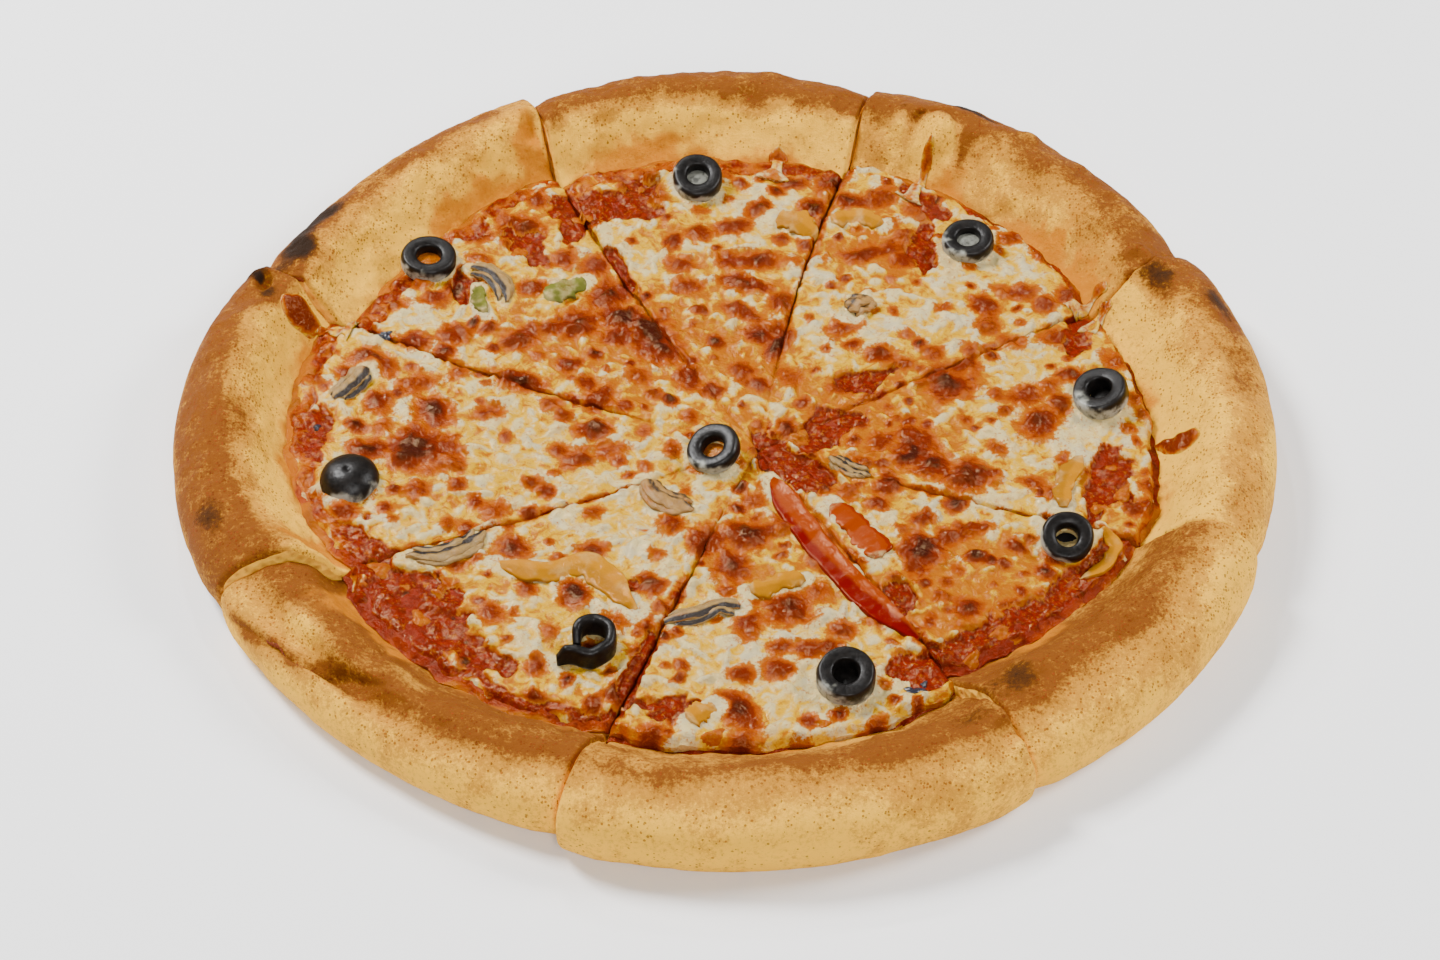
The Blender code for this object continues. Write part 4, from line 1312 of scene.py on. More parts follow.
class Field:
    """Values laid out flat over the round, for spots and lumps."""

    def __init__(self, value=0.0):
        self.values = np.full((FIELD_SIZE, FIELD_SIZE), value)

    def window(self, x, y, reach):
        """Part of the field around a point, with the distance of each place from it."""
        spots = []
        for middle in (x, y):
            low = int(max(0, (middle - reach + FIELD_HALF) / FIELD_STEP))
            high = int(min(FIELD_SIZE, (middle + reach + FIELD_HALF) / FIELD_STEP + 2))
            spots.append((low, high))
        (x0, x1), (y0, y1) = spots
        across = np.arange(x0, x1) * FIELD_STEP - FIELD_HALF - x
        along = np.arange(y0, y1) * FIELD_STEP - FIELD_HALF - y
        return (slice(x0, x1), slice(y0, y1)), across[:, None], along[None, :]

    def distance(self, x, y, long, wide, turn, ragged=None):
        """Window and distance from an oval's middle, 1 at its edge."""
        spot, across, along = self.window(x, y, max(long, wide) * 2.2)
        angle = math.radians(turn)
        u = (across * math.cos(angle) + along * math.sin(angle)) / long
        v = (-across * math.sin(angle) + along * math.cos(angle)) / wide
        away = np.sqrt(u * u + v * v)
        if ragged is not None:
            away = away + ragged[spot]
        return spot, away

    def raise_to(self, spot, value):
        """Raise part of the field to a value where it is lower."""
        self.values[spot] = np.maximum(self.values[spot], value)

    def sample(self, x, y):
        """Field values at points."""
        u = np.clip((x + FIELD_HALF) / FIELD_STEP, 0, FIELD_SIZE - 1.001)
        v = np.clip((y + FIELD_HALF) / FIELD_STEP, 0, FIELD_SIZE - 1.001)
        i = u.astype(int)
        j = v.astype(int)
        du = u - i
        dv = v - j
        table = self.values
        return ((table[i, j] * (1 - du) + table[i + 1, j] * du) * (1 - dv)
                + (table[i, j + 1] * (1 - du) + table[i + 1, j + 1] * du) * dv)


def field_noise(size, layers, shift):
    """Noise over the whole field."""
    places = np.arange(FIELD_SIZE) * FIELD_STEP - FIELD_HALF
    x, y = np.meshgrid(places, places, indexing="ij")
    return rough_noise(x, y, np.zeros_like(x), size, layers, shift)


def area_amount(areas, x, y):
    """How far a point lies in a list of soft round areas."""
    total = 0.0
    for cx, cy, radius, amount in areas:
        total += amount * math.exp(-((x - cx) ** 2 + (y - cy) ** 2) / (radius * radius))
    return total


class Toppings:
    """Fields that the cheese and the sauce are made from."""

    def __init__(self):
        draw = np.random.default_rng(TOPPING_SEED)
        self.ragged = 0.34 * field_noise(5.5, 3, 1.0)
        self.crinkle = 0.22 * field_noise(2.4, 2, 11.0)
        self.bare = Field()
        self.lump = Field()
        self.cream = Field(0.84)
        self.brown = Field()
        self.scorch = Field()
        self.add_areas()
        self.add_lumps(draw)
        self.add_bare()
        for entry in BIG_BLISTERS:
            self.blister(*entry)
        self.add_small_spots(draw)
        toasted = smooth((field_noise(8.0, 3, 14.0) - 0.15) / 0.9) * smooth(
            (0.75 - self.cream.values) / 0.5)
        self.brown.values = np.maximum(self.brown.values, 0.42 * toasted)
        self.add_seats()

    def add_areas(self):
        """Creamy and oily areas."""
        self.cream.values += 0.16 * field_noise(16.0, 3, 8.0)
        for areas, sign in ((CREAM_AREAS, 0.45), (OILY_AREAS, -0.58)):
            for x, y, radius, amount in areas:
                spot, across, along = self.cream.window(x, y, radius * 2.2)
                part = np.exp(-(across ** 2 + along ** 2) / (radius * radius))
                self.cream.values[spot] += sign * amount * part

    def add_lumps(self, draw):
        """Half melted shreds: long low lumps that are creamier than what lies between."""
        for _ in range(LUMP_COUNT):
            x, y = draw.uniform(-LUMP_REACH, LUMP_REACH, 2)
            long = draw.uniform(1.6, 5.2)
            wide = draw.uniform(1.0, 2.1)
            spot, away = self.lump.distance(x, y, long, wide, draw.uniform(0, 180), self.ragged)
            part = 1.0 - smooth((away - 0.1) / 0.95)
            height = draw.uniform(0.25, 0.80)
            held = self.lump.values[spot]
            self.lump.values[spot] = held + height * part * np.exp(-0.9 * held)
            self.cream.values[spot] += draw.uniform(-0.02, 0.20) * part

    def add_bare(self):
        """Places without cheese."""
        for x, y, long, wide, turn in BARE_SAUCE:
            spot, away = self.bare.distance(x, y, long, wide, turn, 1.5 * self.ragged)
            part = 1.0 - smooth((away - 0.62) / 0.55)
            self.bare.raise_to(spot, part)

    def blister(self, x, y, long, wide, turn, dark):
        """One browned bubble: raised, brown, with a scorched middle when dark."""
        shape = 1.3 * self.ragged + self.crinkle
        spot, away = self.brown.distance(x, y, long, wide, turn, shape)
        disc = 1.0 - smooth((away - 0.30) / 1.55)
        core = 1.0 - smooth((away - 0.05) / 0.95)
        self.brown.raise_to(spot, disc * (0.45 + 0.55 * min(1.0, dark + 0.1)))
        self.scorch.raise_to(spot, core * max(0.0, dark - 0.35) * 1.5)
        rise = 0.35 + 0.09 * min(long, wide)
        self.lump.values[spot] += rise * (1.0 - smooth(away / 1.1))

    def add_small_spots(self, draw):
        """Small round spots, thicker where the cheese is oily."""
        placed = [(x, y, max(a, b)) for x, y, a, b, _, _ in BIG_BLISTERS]
        for _ in range(SPOT_COUNT):
            x, y = draw.uniform(-SPOT_REACH, SPOT_REACH, 2)
            radius = 1.0 + 2.6 * draw.random() ** 1.6
            dark = draw.uniform(0.1, 1.0) ** 1.2
            keep = 0.42 + 0.35 * area_amount(OILY_AREAS, x, y)
            keep -= 0.34 * area_amount(CREAM_AREAS, x, y)
            if draw.random() > keep:
                continue
            if any(math.hypot(x - a, y - b) < radius + c + 0.7 for a, b, c in placed):
                continue
            placed.append((x, y, radius))
            self.blister(x, y, radius * draw.uniform(1.0, 1.5), radius, draw.uniform(0, 180),
                         dark)

    def add_seats(self):
        """Cheese that rises round each topping and clings to it."""
        for _, x, y, radius, _, _, _, _ in OLIVES:
            self.seat(x, y, radius + 2.4, 1.1, 0.55)
        self.seat(OLIVE_END[1], OLIVE_END[2], OLIVE_END[3] + 2.2, 1.1, 0.4)
        for kinds, rise in ((MUSHROOMS, 0.35), (PEPPERS, 0.65)):
            for entry in kinds:
                for x, y in curve_path(entry[1], 9):
                    self.seat(x, y, entry[2] + 1.2, rise, 0.0)
        for x, y in curve_path(OLIVE_CURL, 7):
            self.seat(x, y, 3.4, 0.4, 0.0)

    def seat(self, x, y, radius, rise, cream):
        """One soft mound under a topping."""
        spot, away = self.lump.distance(x, y, radius, radius, 0.0, 0.6 * self.ragged)
        part = 1.0 - smooth((away - 0.55) / 0.5)
        self.lump.raise_to(spot, rise * part)
        self.cream.values[spot] += cream * part
        self.brown.values[spot] *= 1.0 - 0.85 * part
        self.scorch.values[spot] *= 1.0 - part
        self.bare.values[spot] *= 1.0 - 0.6 * part


def curve_path(points, count):
    """Smooth path through a few named points (Catmull-Rom)."""
    path = []
    last = len(points) - 1
    for k in range(count):
        place_on = k * last / (count - 1)
        cell = min(last - 1, int(place_on))
        share = place_on - cell
        p0 = points[max(0, cell - 1)]
        p1 = points[cell]
        p2 = points[cell + 1]
        p3 = points[min(last, cell + 2)]
        here = []
        for axis in (0, 1):
            a = 2.0 * p1[axis]
            b = (p2[axis] - p0[axis]) * share
            c = (2.0 * p0[axis] - 5.0 * p1[axis] + 4.0 * p2[axis] - p3[axis]) * share ** 2
            d = (3.0 * p1[axis] - p0[axis] - 3.0 * p2[axis] + p3[axis]) * share ** 3
            here.append(0.5 * (a + b + c + d))
        path.append(tuple(here))
    return path


def wedge_grid(index, fineness, outer_in, tip_in):
    """Points of a wedge from its tip to near the crust, and how near each is to an edge."""
    stations, rings = fineness
    shares = even_shares(stations)
    reach_out, angle = station_rim(index, shares)
    rim = blend(SLICES[index]["rim"], slice_share(index, angle))
    uneven = 1.5 * rough_noise(2.4 * np.radians(angle) * 60.0, angle * 0.0, index, 8.0, 3, 20.0)
    edge = reach_out - rim + outer_in + uneven
    tip = tip_reach(index) + tip_in
    ring = (np.arange(rings + 1) / rings) ** 0.92
    reach = tip + (edge[:, None] - tip) * ring[None, :]
    turn = station_turn(index, reach, shares[:, None])
    first, second = slice_turns(index, reach)
    lean = (2.0 * shares[:, None] - 1.0) ** 9
    closing = 0.42 * (1.0 - smooth(reach / 70.0))
    turn = turn + lean * closing / np.maximum(reach, 3.0)
    wave = 0.55 * noise(*hub_place(reach, turn), 0.0, 6.0)
    turn = turn + np.abs(lean) * wave * smooth(reach / 25.0) / np.maximum(reach, 8.0)
    to_cut = np.minimum(turn - first, second - turn) * reach
    x, y = hub_place(reach, turn)
    return x, y, to_cut, edge[:, None] - reach


def rounded(distance, radius):
    """Drop of a rounded edge at a distance from it."""
    part = np.clip(1.0 - distance / radius, 0.0, 1.0)
    return radius * (1.0 - np.sqrt(1.0 - part * part))


def layer_mesh(name, x, y, high, low, masks, layer_name, finish):
    """Closed layer: an uneven top, and sides that go down to its underside."""
    columns, rows = x.shape
    top = np.stack([x, y, high], axis=2)
    points = top.reshape(-1, 3)
    faces = grid_faces(rows, columns)
    layer = layer_of(*[mask.ravel() for mask in masks])
    order = [k * rows for k in range(columns)]
    order += [(columns - 1) * rows + k for k in range(1, rows)]
    order += [k * rows + rows - 1 for k in range(columns - 2, -1, -1)]
    order += [k for k in range(rows - 2, 0, -1)]
    border = points[order]
    foot = border.copy()
    foot[:, 2] = low
    start = len(points)
    count = len(order)
    side = []
    for k in range(count):
        after = (k + 1) % count
        side.append((start + after, start + k, start + count + k, start + count + after))
    points = np.concatenate([points, border, foot])
    edge_layer = layer[order]
    layer = np.concatenate([layer, edge_layer, edge_layer])
    faces = np.concatenate([faces[:, ::-1], np.array(side)[:, ::-1]])
    return new_mesh(name, points, faces, {layer_name: layer}, [finish])


def cheese_slice(index, fields, look, finish):
    """Melted cheese of one slice."""
    x, y, to_cut, to_edge = wedge_grid(index, CHEESE_GRID, 2.6, 0.3)
    flat = np.zeros_like(x)
    ragged = rough_noise(x, y, flat, 7.0, 3, 6.0)
    small = rough_noise(x, y, flat, 2.6, 3, 15.0)
    pulp = rough_noise(x, y, flat, 3.6, 3, 2.0)
    cream = fields.cream.sample(x, y)
    brown = fields.brown.sample(x, y)
    scorch = fields.scorch.sample(x, y)
    lump = fields.lump.sample(x, y)
    inner = SLICES[index]["edge"] - 2.0
    rim_thin = 1.0 - smooth((to_edge - inner) / 5.0)
    thin = np.maximum(fields.bare.sample(x, y), rim_thin)
    cover = 1.0 - smooth((thin + 0.32 * ragged - 0.30 * (lump - 0.5) - 0.28) / 0.55)
    lifts = look.lumps / FIELD_LUMPS
    from_hub = np.hypot(x - HUB[0], y - HUB[1])
    opened = smooth((from_hub - 12.0) / 40.0)
    high = CHEESE_TOP - 0.25 + 0.55 * rough_noise(x, y, flat, 34.0, 2, 3.0)
    lumpy = cover * (1.15 * lump + 0.42 * small)
    high = high + lifts * (lumpy - (1.0 - cover) * (1.1 - 0.9 * pulp))
    high = high - 2.4 * smooth((1.7 - to_edge) / 1.7)
    high = high - rounded(to_cut, 1.5 + 0.6 * ragged) * (0.25 + 0.75 * opened)
    # Hollows between lumps: less cream and more tomato there, partly oil that pools and partly
    # painted shade
    valley_oil_and_shade = smooth((0.55 - lump + 0.30 * ragged + 0.15 * small) / 0.55)
    patchy = rough_noise(x, y, flat, 9.0, 3, 18.0)
    glazed = rim_thin * SLICES[index]["glaze"] * (0.62 + 0.5 * patchy)
    seam = 3.4 * SLICES[index]["glaze"] + 2.8 * patchy
    glazed = np.clip(np.maximum(glazed, smooth((seam - to_edge) / 2.4)), 0.0, 1.0)
    tomato = (1.0 - cover) * (1.0 - glazed) + 0.20 * valley_oil_and_shade * smooth((0.85 - cream) / 0.5)
    tomato = tomato + 0.16 * smooth((0.36 - cream) / 0.5) + 0.08 * patchy
    near_cut = smooth((2.4 + 2.0 * ragged - to_cut) / 3.0) * (0.35 + 0.65 * opened)
    tomato = tomato + 0.62 * near_cut
    cream = cream + 0.85 * (lump - 0.50) - 0.22 * valley_oil_and_shade - 0.25 * near_cut
    brown = brown * smooth(cover * 1.6)
    masks = (cream, brown, scorch, tomato)
    obj = layer_mesh("melted_" + SLICES[index]["name"], x, y, high, CHEESE_LOW - 1.2, masks,
                     "melt", finish)
    take_node(obj, "cheese_" + SLICES[index]["name"])


def sauce_slice(index, fields, finish):
    """Tomato sauce of one slice, thick where it shows."""
    x, y, to_cut, to_edge = wedge_grid(index, SAUCE_GRID, 4.2, 0.0)
    flat = np.zeros_like(x)
    pulp = rough_noise(x, y, flat, 4.5, 4, 2.0)
    wide = rough_noise(x, y, flat, 15.0, 2, 12.0)
    ragged = rough_noise(x, y, flat, 7.0, 3, 6.0)
    bare = fields.bare.sample(x, y)
    rim_bare = 1.0 - smooth((to_edge - SLICES[index]["edge"] - 4.2 * ragged) / 4.5)
    shown = np.maximum(bare, 0.8 * rim_bare)
    high = SAUCE_TOP + 1.5 * shown + (0.35 + 0.55 * shown) * pulp
    high = high - rounded(to_cut, 1.0) * 0.8
    high = high - 1.4 * smooth((3.0 - to_edge) / 3.0)
    high = np.clip(high, SAUCE_LOW + 0.5, CHEESE_TOP - 1.6)
    soaked = 1.0 + 7.0 * SLICES[index]["glaze"] + 4.0 * wide + 2.0 * pulp
    oil = smooth((soaked - to_edge) / 5.0) + 0.30 * smooth(wide - 0.1)
    dark = smooth((wide + 0.6 * pulp - 0.5) / 0.6) * 0.6
    obj = layer_mesh("tomato_" + SLICES[index]["name"], x, y, high, SAUCE_LOW,
                     (shown, oil, dark), "cook", finish)
    take_node(obj, "sauce_" + SLICES[index]["name"])


# Toppings


def node_floor(node):
    """Height of a node's lowest point in millimetres."""
    low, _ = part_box(node)
    return low[2] / MM


def turn_and_tilt(points, x, y, tilt, way):
    """Tilt points about the origin towards a way, then shift them."""
    way = math.radians(way)
    lean = math.radians(tilt)
    px, py, pz = points[:, 0], points[:, 1], points[:, 2]
    along = px * math.cos(way) + py * math.sin(way)
    aside = -px * math.sin(way) + py * math.cos(way)
    low = along * math.cos(lean) + pz * math.sin(lean)
    high = -along * math.sin(lean) + pz * math.cos(lean)
    return np.stack([low * math.cos(way) - aside * math.sin(way) + x,
                     low * math.sin(way) + aside * math.cos(way) + y, high], axis=1)


def turned_grid(sections, around):
    """Points of a body of revolution and the turn of each, column by column."""
    columns = []
    for k in range(around):
        turn = math.tau * k / around
        for radius, height in sections:
            columns.append((radius * math.cos(turn), radius * math.sin(turn), height))
    return np.array(columns)


def ring_faces(rows, columns, closed_rows):
    """Faces of a grid that closes round its columns, and round its rows if asked."""
    faces = []
    last = rows if closed_rows else rows - 1
    for column in range(columns):
        after = (column + 1) % columns
        for row in range(last):
            up = (row + 1) % rows
            faces.append((column * rows + row, after * rows + row, after * rows + up,
                          column * rows + up))
    return np.array(faces)


def disc_faces(rings, around, start=0, flip=False):
    """Faces of a disc made of rings of points, from its middle outwards."""
    faces = []
    for ring in range(rings):
        for k in range(around):
            a = start + ring * around + k
            b = start + ring * around + (k + 1) % around
            corners = (a, a + around, b + around, b)[:4 if ring else 3]
            faces.append(corners[::-1] if flip else corners)
    return faces


def olive_sections(radius, tall, count):
    """Rounded outline of an olive ring, all the way round its flesh."""
    hole = 0.43 * radius
    corners = ((hole + 0.2, tall * 0.12), (hole + 0.9, 0.0), (radius - 1.2, 0.0),
               (radius - 0.3, 0.4), (radius, tall * 0.3), (radius, tall * 0.72),
               (radius - 0.5, tall - 0.35), (radius - 1.3, tall), (hole + 1.2, tall - 0.1),
               (hole + 0.2, tall - 0.7), (hole, tall * 0.5))
    loop = corners + corners[:1]
    return curve_path(loop, count)[:-1]


def olive_ring(entry, finish, fills):
    """Sliced olive that settles where its node lies."""
    node, x, y, radius, tall, tilt, way, fill = entry
    sections = olive_sections(radius, tall, 49)
    rows = len(sections)
    points = turned_grid(sections, OLIVE_AROUND)
    lean = rough_noise(points[:, 0] + 31 * x, points[:, 1], points[:, 2], 6.0, 2)
    away = np.hypot(points[:, 0], points[:, 1])
    swelled = 1.0 + 0.030 * lean
    points[:, 0] *= swelled * (1.0 + 0.03 * math.sin(x))
    points[:, 1] *= swelled * (1.0 - 0.03 * math.sin(x))
    points[:, 2] += 0.15 * lean
    height = points[:, 2] / tall
    # Painted sheen along the upper outer rim of the cut face
    painted_rim_sheen = smooth((height - 0.8) / 0.15) * smooth((away - radius * 0.78) / (radius * 0.15))
    placed = turn_and_tilt(points, x, y, tilt, way)
    placed[:, 2] += node_floor(node) - placed[:, 2].min() - 0.25
    side = math.radians(FILM_SIDE)
    facing = ((placed[:, 0] - x) * math.cos(side) + (placed[:, 1] - y) * math.sin(side)) / radius
    patch = rough_at(placed, 3.0, 3, 5.0)
    film = smooth((0.50 + 0.50 * facing + 0.34 * patch - height) / 0.30)
    film = film * smooth((away - radius * 0.5) / (radius * 0.3))
    layer = layer_of(film, painted_rim_sheen)
    obj = new_mesh(node.replace("olive", "olive_slice"), placed,
                   ring_faces(rows, OLIVE_AROUND, True), {"film_and_sheen": layer}, [finish])
    take_node(obj, node)
    hole = 0.49 * radius
    disc = []
    for ring in range(HOLE_RINGS + 1):
        size = ring / HOLE_RINGS
        for k in range(HOLE_AROUND):
            turn = math.tau * k / HOLE_AROUND
            disc.append((hole * size * math.cos(turn), hole * size * math.sin(turn),
                         tall * FILL_HEIGHTS[fill] + 0.5 * (1.0 - size * size)))
    disc = turn_and_tilt(np.array(disc), x, y, tilt, way)
    disc[:, 2] += placed[:, 2].min()
    disc[:, 2] += 0.12 * noise(disc[:, 0], disc[:, 1], disc[:, 2], 1.3)
    fills.append((disc, fill))


def hole_fills(name, fills, layer_name, tones, finish):
    """What stands in the holes of the olives, one piece for each finish."""
    points = []
    faces = []
    layers = []
    for disc, fill in fills:
        if fill not in tones:
            continue
        faces += disc_faces(HOLE_RINGS, HOLE_AROUND, sum(len(part) for part in points))
        points.append(disc)
        layers.append(np.tile(np.array(tones[fill], np.float32), (len(disc), 1)))
    obj = new_mesh(name, np.concatenate(points), faces, {layer_name: np.concatenate(layers)},
                   [finish])
    on_body(obj)


def olive_end(finish):
    """Domed end piece of an olive."""
    node, x, y, radius = OLIVE_END
    tall = 0.80 * radius
    sections = [(radius * 0.90, 0.0), (radius * 0.97, 0.4)]
    for step in range(1, 34):
        lean = step * math.pi / 2.0 / 33.0
        sections.append((max(0.02, radius * math.cos(lean) ** 0.95),
                         0.8 + (tall - 0.8) * math.sin(lean)))
    points = turned_grid(sections, OLIVE_AROUND)
    away = np.hypot(points[:, 0], points[:, 1])
    points[:, 2] -= 0.5 * np.exp(-(away / 0.9) ** 2)
    lean = rough_at(points, 6.0, 3)
    points[:, 2] += 0.22 * lean * smooth(points[:, 2] / 2.0)
    placed = turn_and_tilt(points, x, y, 8.0, 250.0)
    placed[:, 2] += node_floor(node) - placed[:, 2].min() - 0.2
    patch = rough_at(placed, 3.0, 3, 5.0)
    facing = (-(placed[:, 1] - y)) / radius
    film = smooth((0.22 + 0.50 * facing + 0.30 * patch - points[:, 2] / tall) / 0.30)
    obj = new_mesh("olive_slice_end_left", placed,
                   ring_faces(len(sections), OLIVE_AROUND, False),
                   {"film_and_sheen": layer_of(film * 0.8, film * 0.0)}, [finish])
    take_node(obj, node)


def strip_grid(tree, points, half, thickness, arch, count, section, taper, ripple, twist=0.0):
    """Points of a strip that lies along a path on the cheese, with across and along shares."""
    path = np.array(curve_path(points, count))
    under = np.array([height_below(tree, x, y, CHEESE_TOP) for x, y in path])
    spread = np.pad(under, 4, mode="edge")
    under = sum(spread[k:k + count] for k in range(9)) / 9.0
    ahead = np.gradient(path, axis=0)
    size = np.linalg.norm(ahead, axis=1, keepdims=True)
    ahead = ahead / size
    side = np.stack([-ahead[:, 1], ahead[:, 0]], axis=1)
    share = np.linspace(0.0, 1.0, count)
    ends = np.minimum(share, 1.0 - share)
    width = half * (taper + (1.0 - taper) * smooth(ends / 0.22))
    left = 1.0 + 0.75 * ripple * rough_noise(share * 40.0, share * 0.0 + points[0][0], 0.0, 7.0, 3)
    right = 1.0 + 0.75 * ripple * rough_noise(share * 40.0, share * 0.0 + points[0][1], 9.0, 7.0, 3)
    columns = []
    for k in range(section):
        turn = math.tau * k / section
        across = math.cos(turn)
        across = math.copysign(abs(across) ** 0.6, across)
        rise = math.sin(turn)
        body = thickness * (0.5 + 0.5 * math.copysign(abs(rise) ** 0.45, rise))
        columns.append((across, body + arch * (1.0 - across * across)))
    across_all = np.array(columns)[:, 0]
    grid = np.zeros((count, section, 3))
    for k, (across, up) in enumerate(columns):
        uneven = left if across < 0.0 else right
        grid[:, k, 0] = path[:, 0] + side[:, 0] * width * uneven * across
        grid[:, k, 1] = path[:, 1] + side[:, 1] * width * uneven * across
        grid[:, k, 2] = up * (0.55 + 0.45 * smooth(ends / 0.10))
    wave = rough_noise(grid[:, :, 0], grid[:, :, 1], grid[:, :, 2] * 0.0, 7.0, 3, 1.0)
    grid[:, :, 2] += ripple * wave + twist * across_all[None, :]
    grid[:, :, 2] += under[:, None] - STRIP_SINK
    along = np.repeat(share[:, None], section, axis=1)
    across = np.repeat(across_all[None, :], count, axis=0)
    return grid, across, along


def strip_mesh(name, grids, layer_name, layers, finish):
    """Closed strips from their grids: a loop at each step along, and a point at each end."""
    points = []
    faces = []
    tones = []
    start = 0
    for grid, layer in zip(grids, layers):
        count, section = grid.shape[:2]
        last = start + (count - 1) * section
        tip = last + section
        points += [grid.reshape(-1, 3), grid[0].mean(axis=0)[None], grid[-1].mean(axis=0)[None]]
        tones += [layer, layer[:1], layer[-1:]]
        for s in range(section):
            after = (s + 1) % section
            for low in range(start, last, section):
                faces.append((low + s, low + after, low + section + after, low + section + s))
            faces.append((start + s, tip, start + after))
            faces.append((last + s, last + after, tip + 1))
        start = tip + 2
    return new_mesh(name, np.concatenate(points), faces, {layer_name: np.concatenate(tones)},
                    [finish])


def olive_curl(tree, finish):
    """Cut olive ring that lies open."""
    node = "olive_curl_near_left"
    grid, across, _ = strip_grid(tree, OLIVE_CURL, 1.55, 6.4, 0.3, 90, 28, 0.7, 0.2)
    high = (grid[:, :, 2] - grid[:, :, 2].min()).ravel()
    patch = rough_at(grid, 3.0, 2).ravel()
    film = smooth((1.1 + patch - high) / 1.2) * 0.7
    # Painted sheen along the top edges of the open ring
    edge = smooth((high - 5.6) / 0.8) * smooth((np.abs(across.ravel()) - 0.5) / 0.3)
    obj = strip_mesh("olive_slice_curl", [grid], "film_and_sheen", [layer_of(film, edge)], finish)
    take_node(obj, node)


def mushroom_slice(entry, tree, finish):
    """Cooked mushroom: thin leaves that overlap, each with gills along one side."""
    node, points, half = entry
    ends = np.array(points)
    chord = ends[-1] - ends[0]
    aside = np.array([-chord[1], chord[0]]) / np.hypot(*chord)
    middle = ends.mean(axis=0)
    dark_side = -1.0 if node in DARK_LEFT else 1.0
    pale = node in PALE_MUSHROOMS
    grids = []
    layers = []
    for number, (shift, length, wide, rise) in enumerate(MUSHROOM_LEAVES):
        leaf = middle + (ends - middle) * length + aside * (shift * half * dark_side)
        grid, across, along = strip_grid(tree, leaf.tolist(), half * wide, 1.1, 0.3, 60, 22, 0.35,
                                         0.5)
        flat = across.ravel() * dark_side
        patch = rough_at(grid.reshape(-1, 3), 4.0, 3, 3.0 + number)
        gill = smooth((flat + 0.12 + 0.5 * patch) / 0.35)
        gill = gill * (1.0 - 0.7 * smooth((np.abs(flat) - 0.90) / 0.08))
        lines = 0.5 + 0.5 * np.sin(flat * 9.0 + 3.0 * patch + 26.0 * along.ravel())
        oil = smooth(patch - 0.25)
        if pale:
            gill = gill * 0.75
            oil = oil + 0.30
        grid[:, :, 2] += rise - 0.3 * (gill * lines).reshape(across.shape)
        grids.append(grid)
        layers.append(layer_of(gill * (0.7 + 0.3 * lines), lines * 0.4, oil))
    obj = strip_mesh(node.replace("mushroom", "mushroom_slice"), grids, "flesh", layers, finish)
    take_node(obj, node)


def pepper_strip(entry, tree, finishes):
    """Strip of roasted pepper, its skin on one side and its flesh on the other."""
    node, points, half, colour = entry
    thickness, bow, count, ripple, twist, cover, slot = PEPPER_SHAPES[colour]
    taper = 0.25 if len(points) > 3 else 0.4
    grid, across, along = strip_grid(tree, points, half, thickness, bow, count, 30, taper,
                                     ripple, twist)
    share = along.ravel()
    patch = rough_at(grid.reshape(-1, 3), 5.0, 3, 3.0)
    side = 0.5 + 0.5 * across.ravel()
    if colour == "red":
        side = side + 0.42 - 0.75 * share
    if colour == "orange":
        side = 1.0 - 0.75 * smooth((side - 0.72) / 0.2)
    brown = smooth((patch - 0.45) / 0.4) * (0.15 if colour == "red" else 0.4)
    if colour == "orange":
        brown = 0.6 * smooth((patch + 0.15) / 0.5)
    cheese = smooth((0.16 - np.minimum(share, 1.0 - share)) / 0.12 + 0.6 * patch)
    cheese = cover * (cheese + smooth((patch - 0.10) / 0.4))
    obj = strip_mesh(node.replace("pepper", "pepper_strip"), [grid], "flesh",
                     [layer_of(side, brown, cheese)], finishes[colour])
    take_node(obj, node)


def surface_tree(kinds):
    """Search tree over the surfaces of some kinds of piece of every slice."""
    points = []
    faces = []
    for name in [kind + entry["name"] for entry in SLICES for kind in kinds]:
        obj = bpy.data.objects[name]
        start = len(points)
        points.extend(vert.co.copy() for vert in obj.data.vertices)
        faces.extend([start + k for k in face.vertices] for face in obj.data.polygons)
    return BVHTree.FromPolygons(points, faces)


def height_below(tree, x, y, otherwise):
    """Height in millimetres of the surface under a point."""
    hit = tree.ray_cast(Vector((x * MM, y * MM, 0.06)), Vector((0.0, 0.0, -1.0)))
    return otherwise if hit[0] is None else hit[0].z / MM


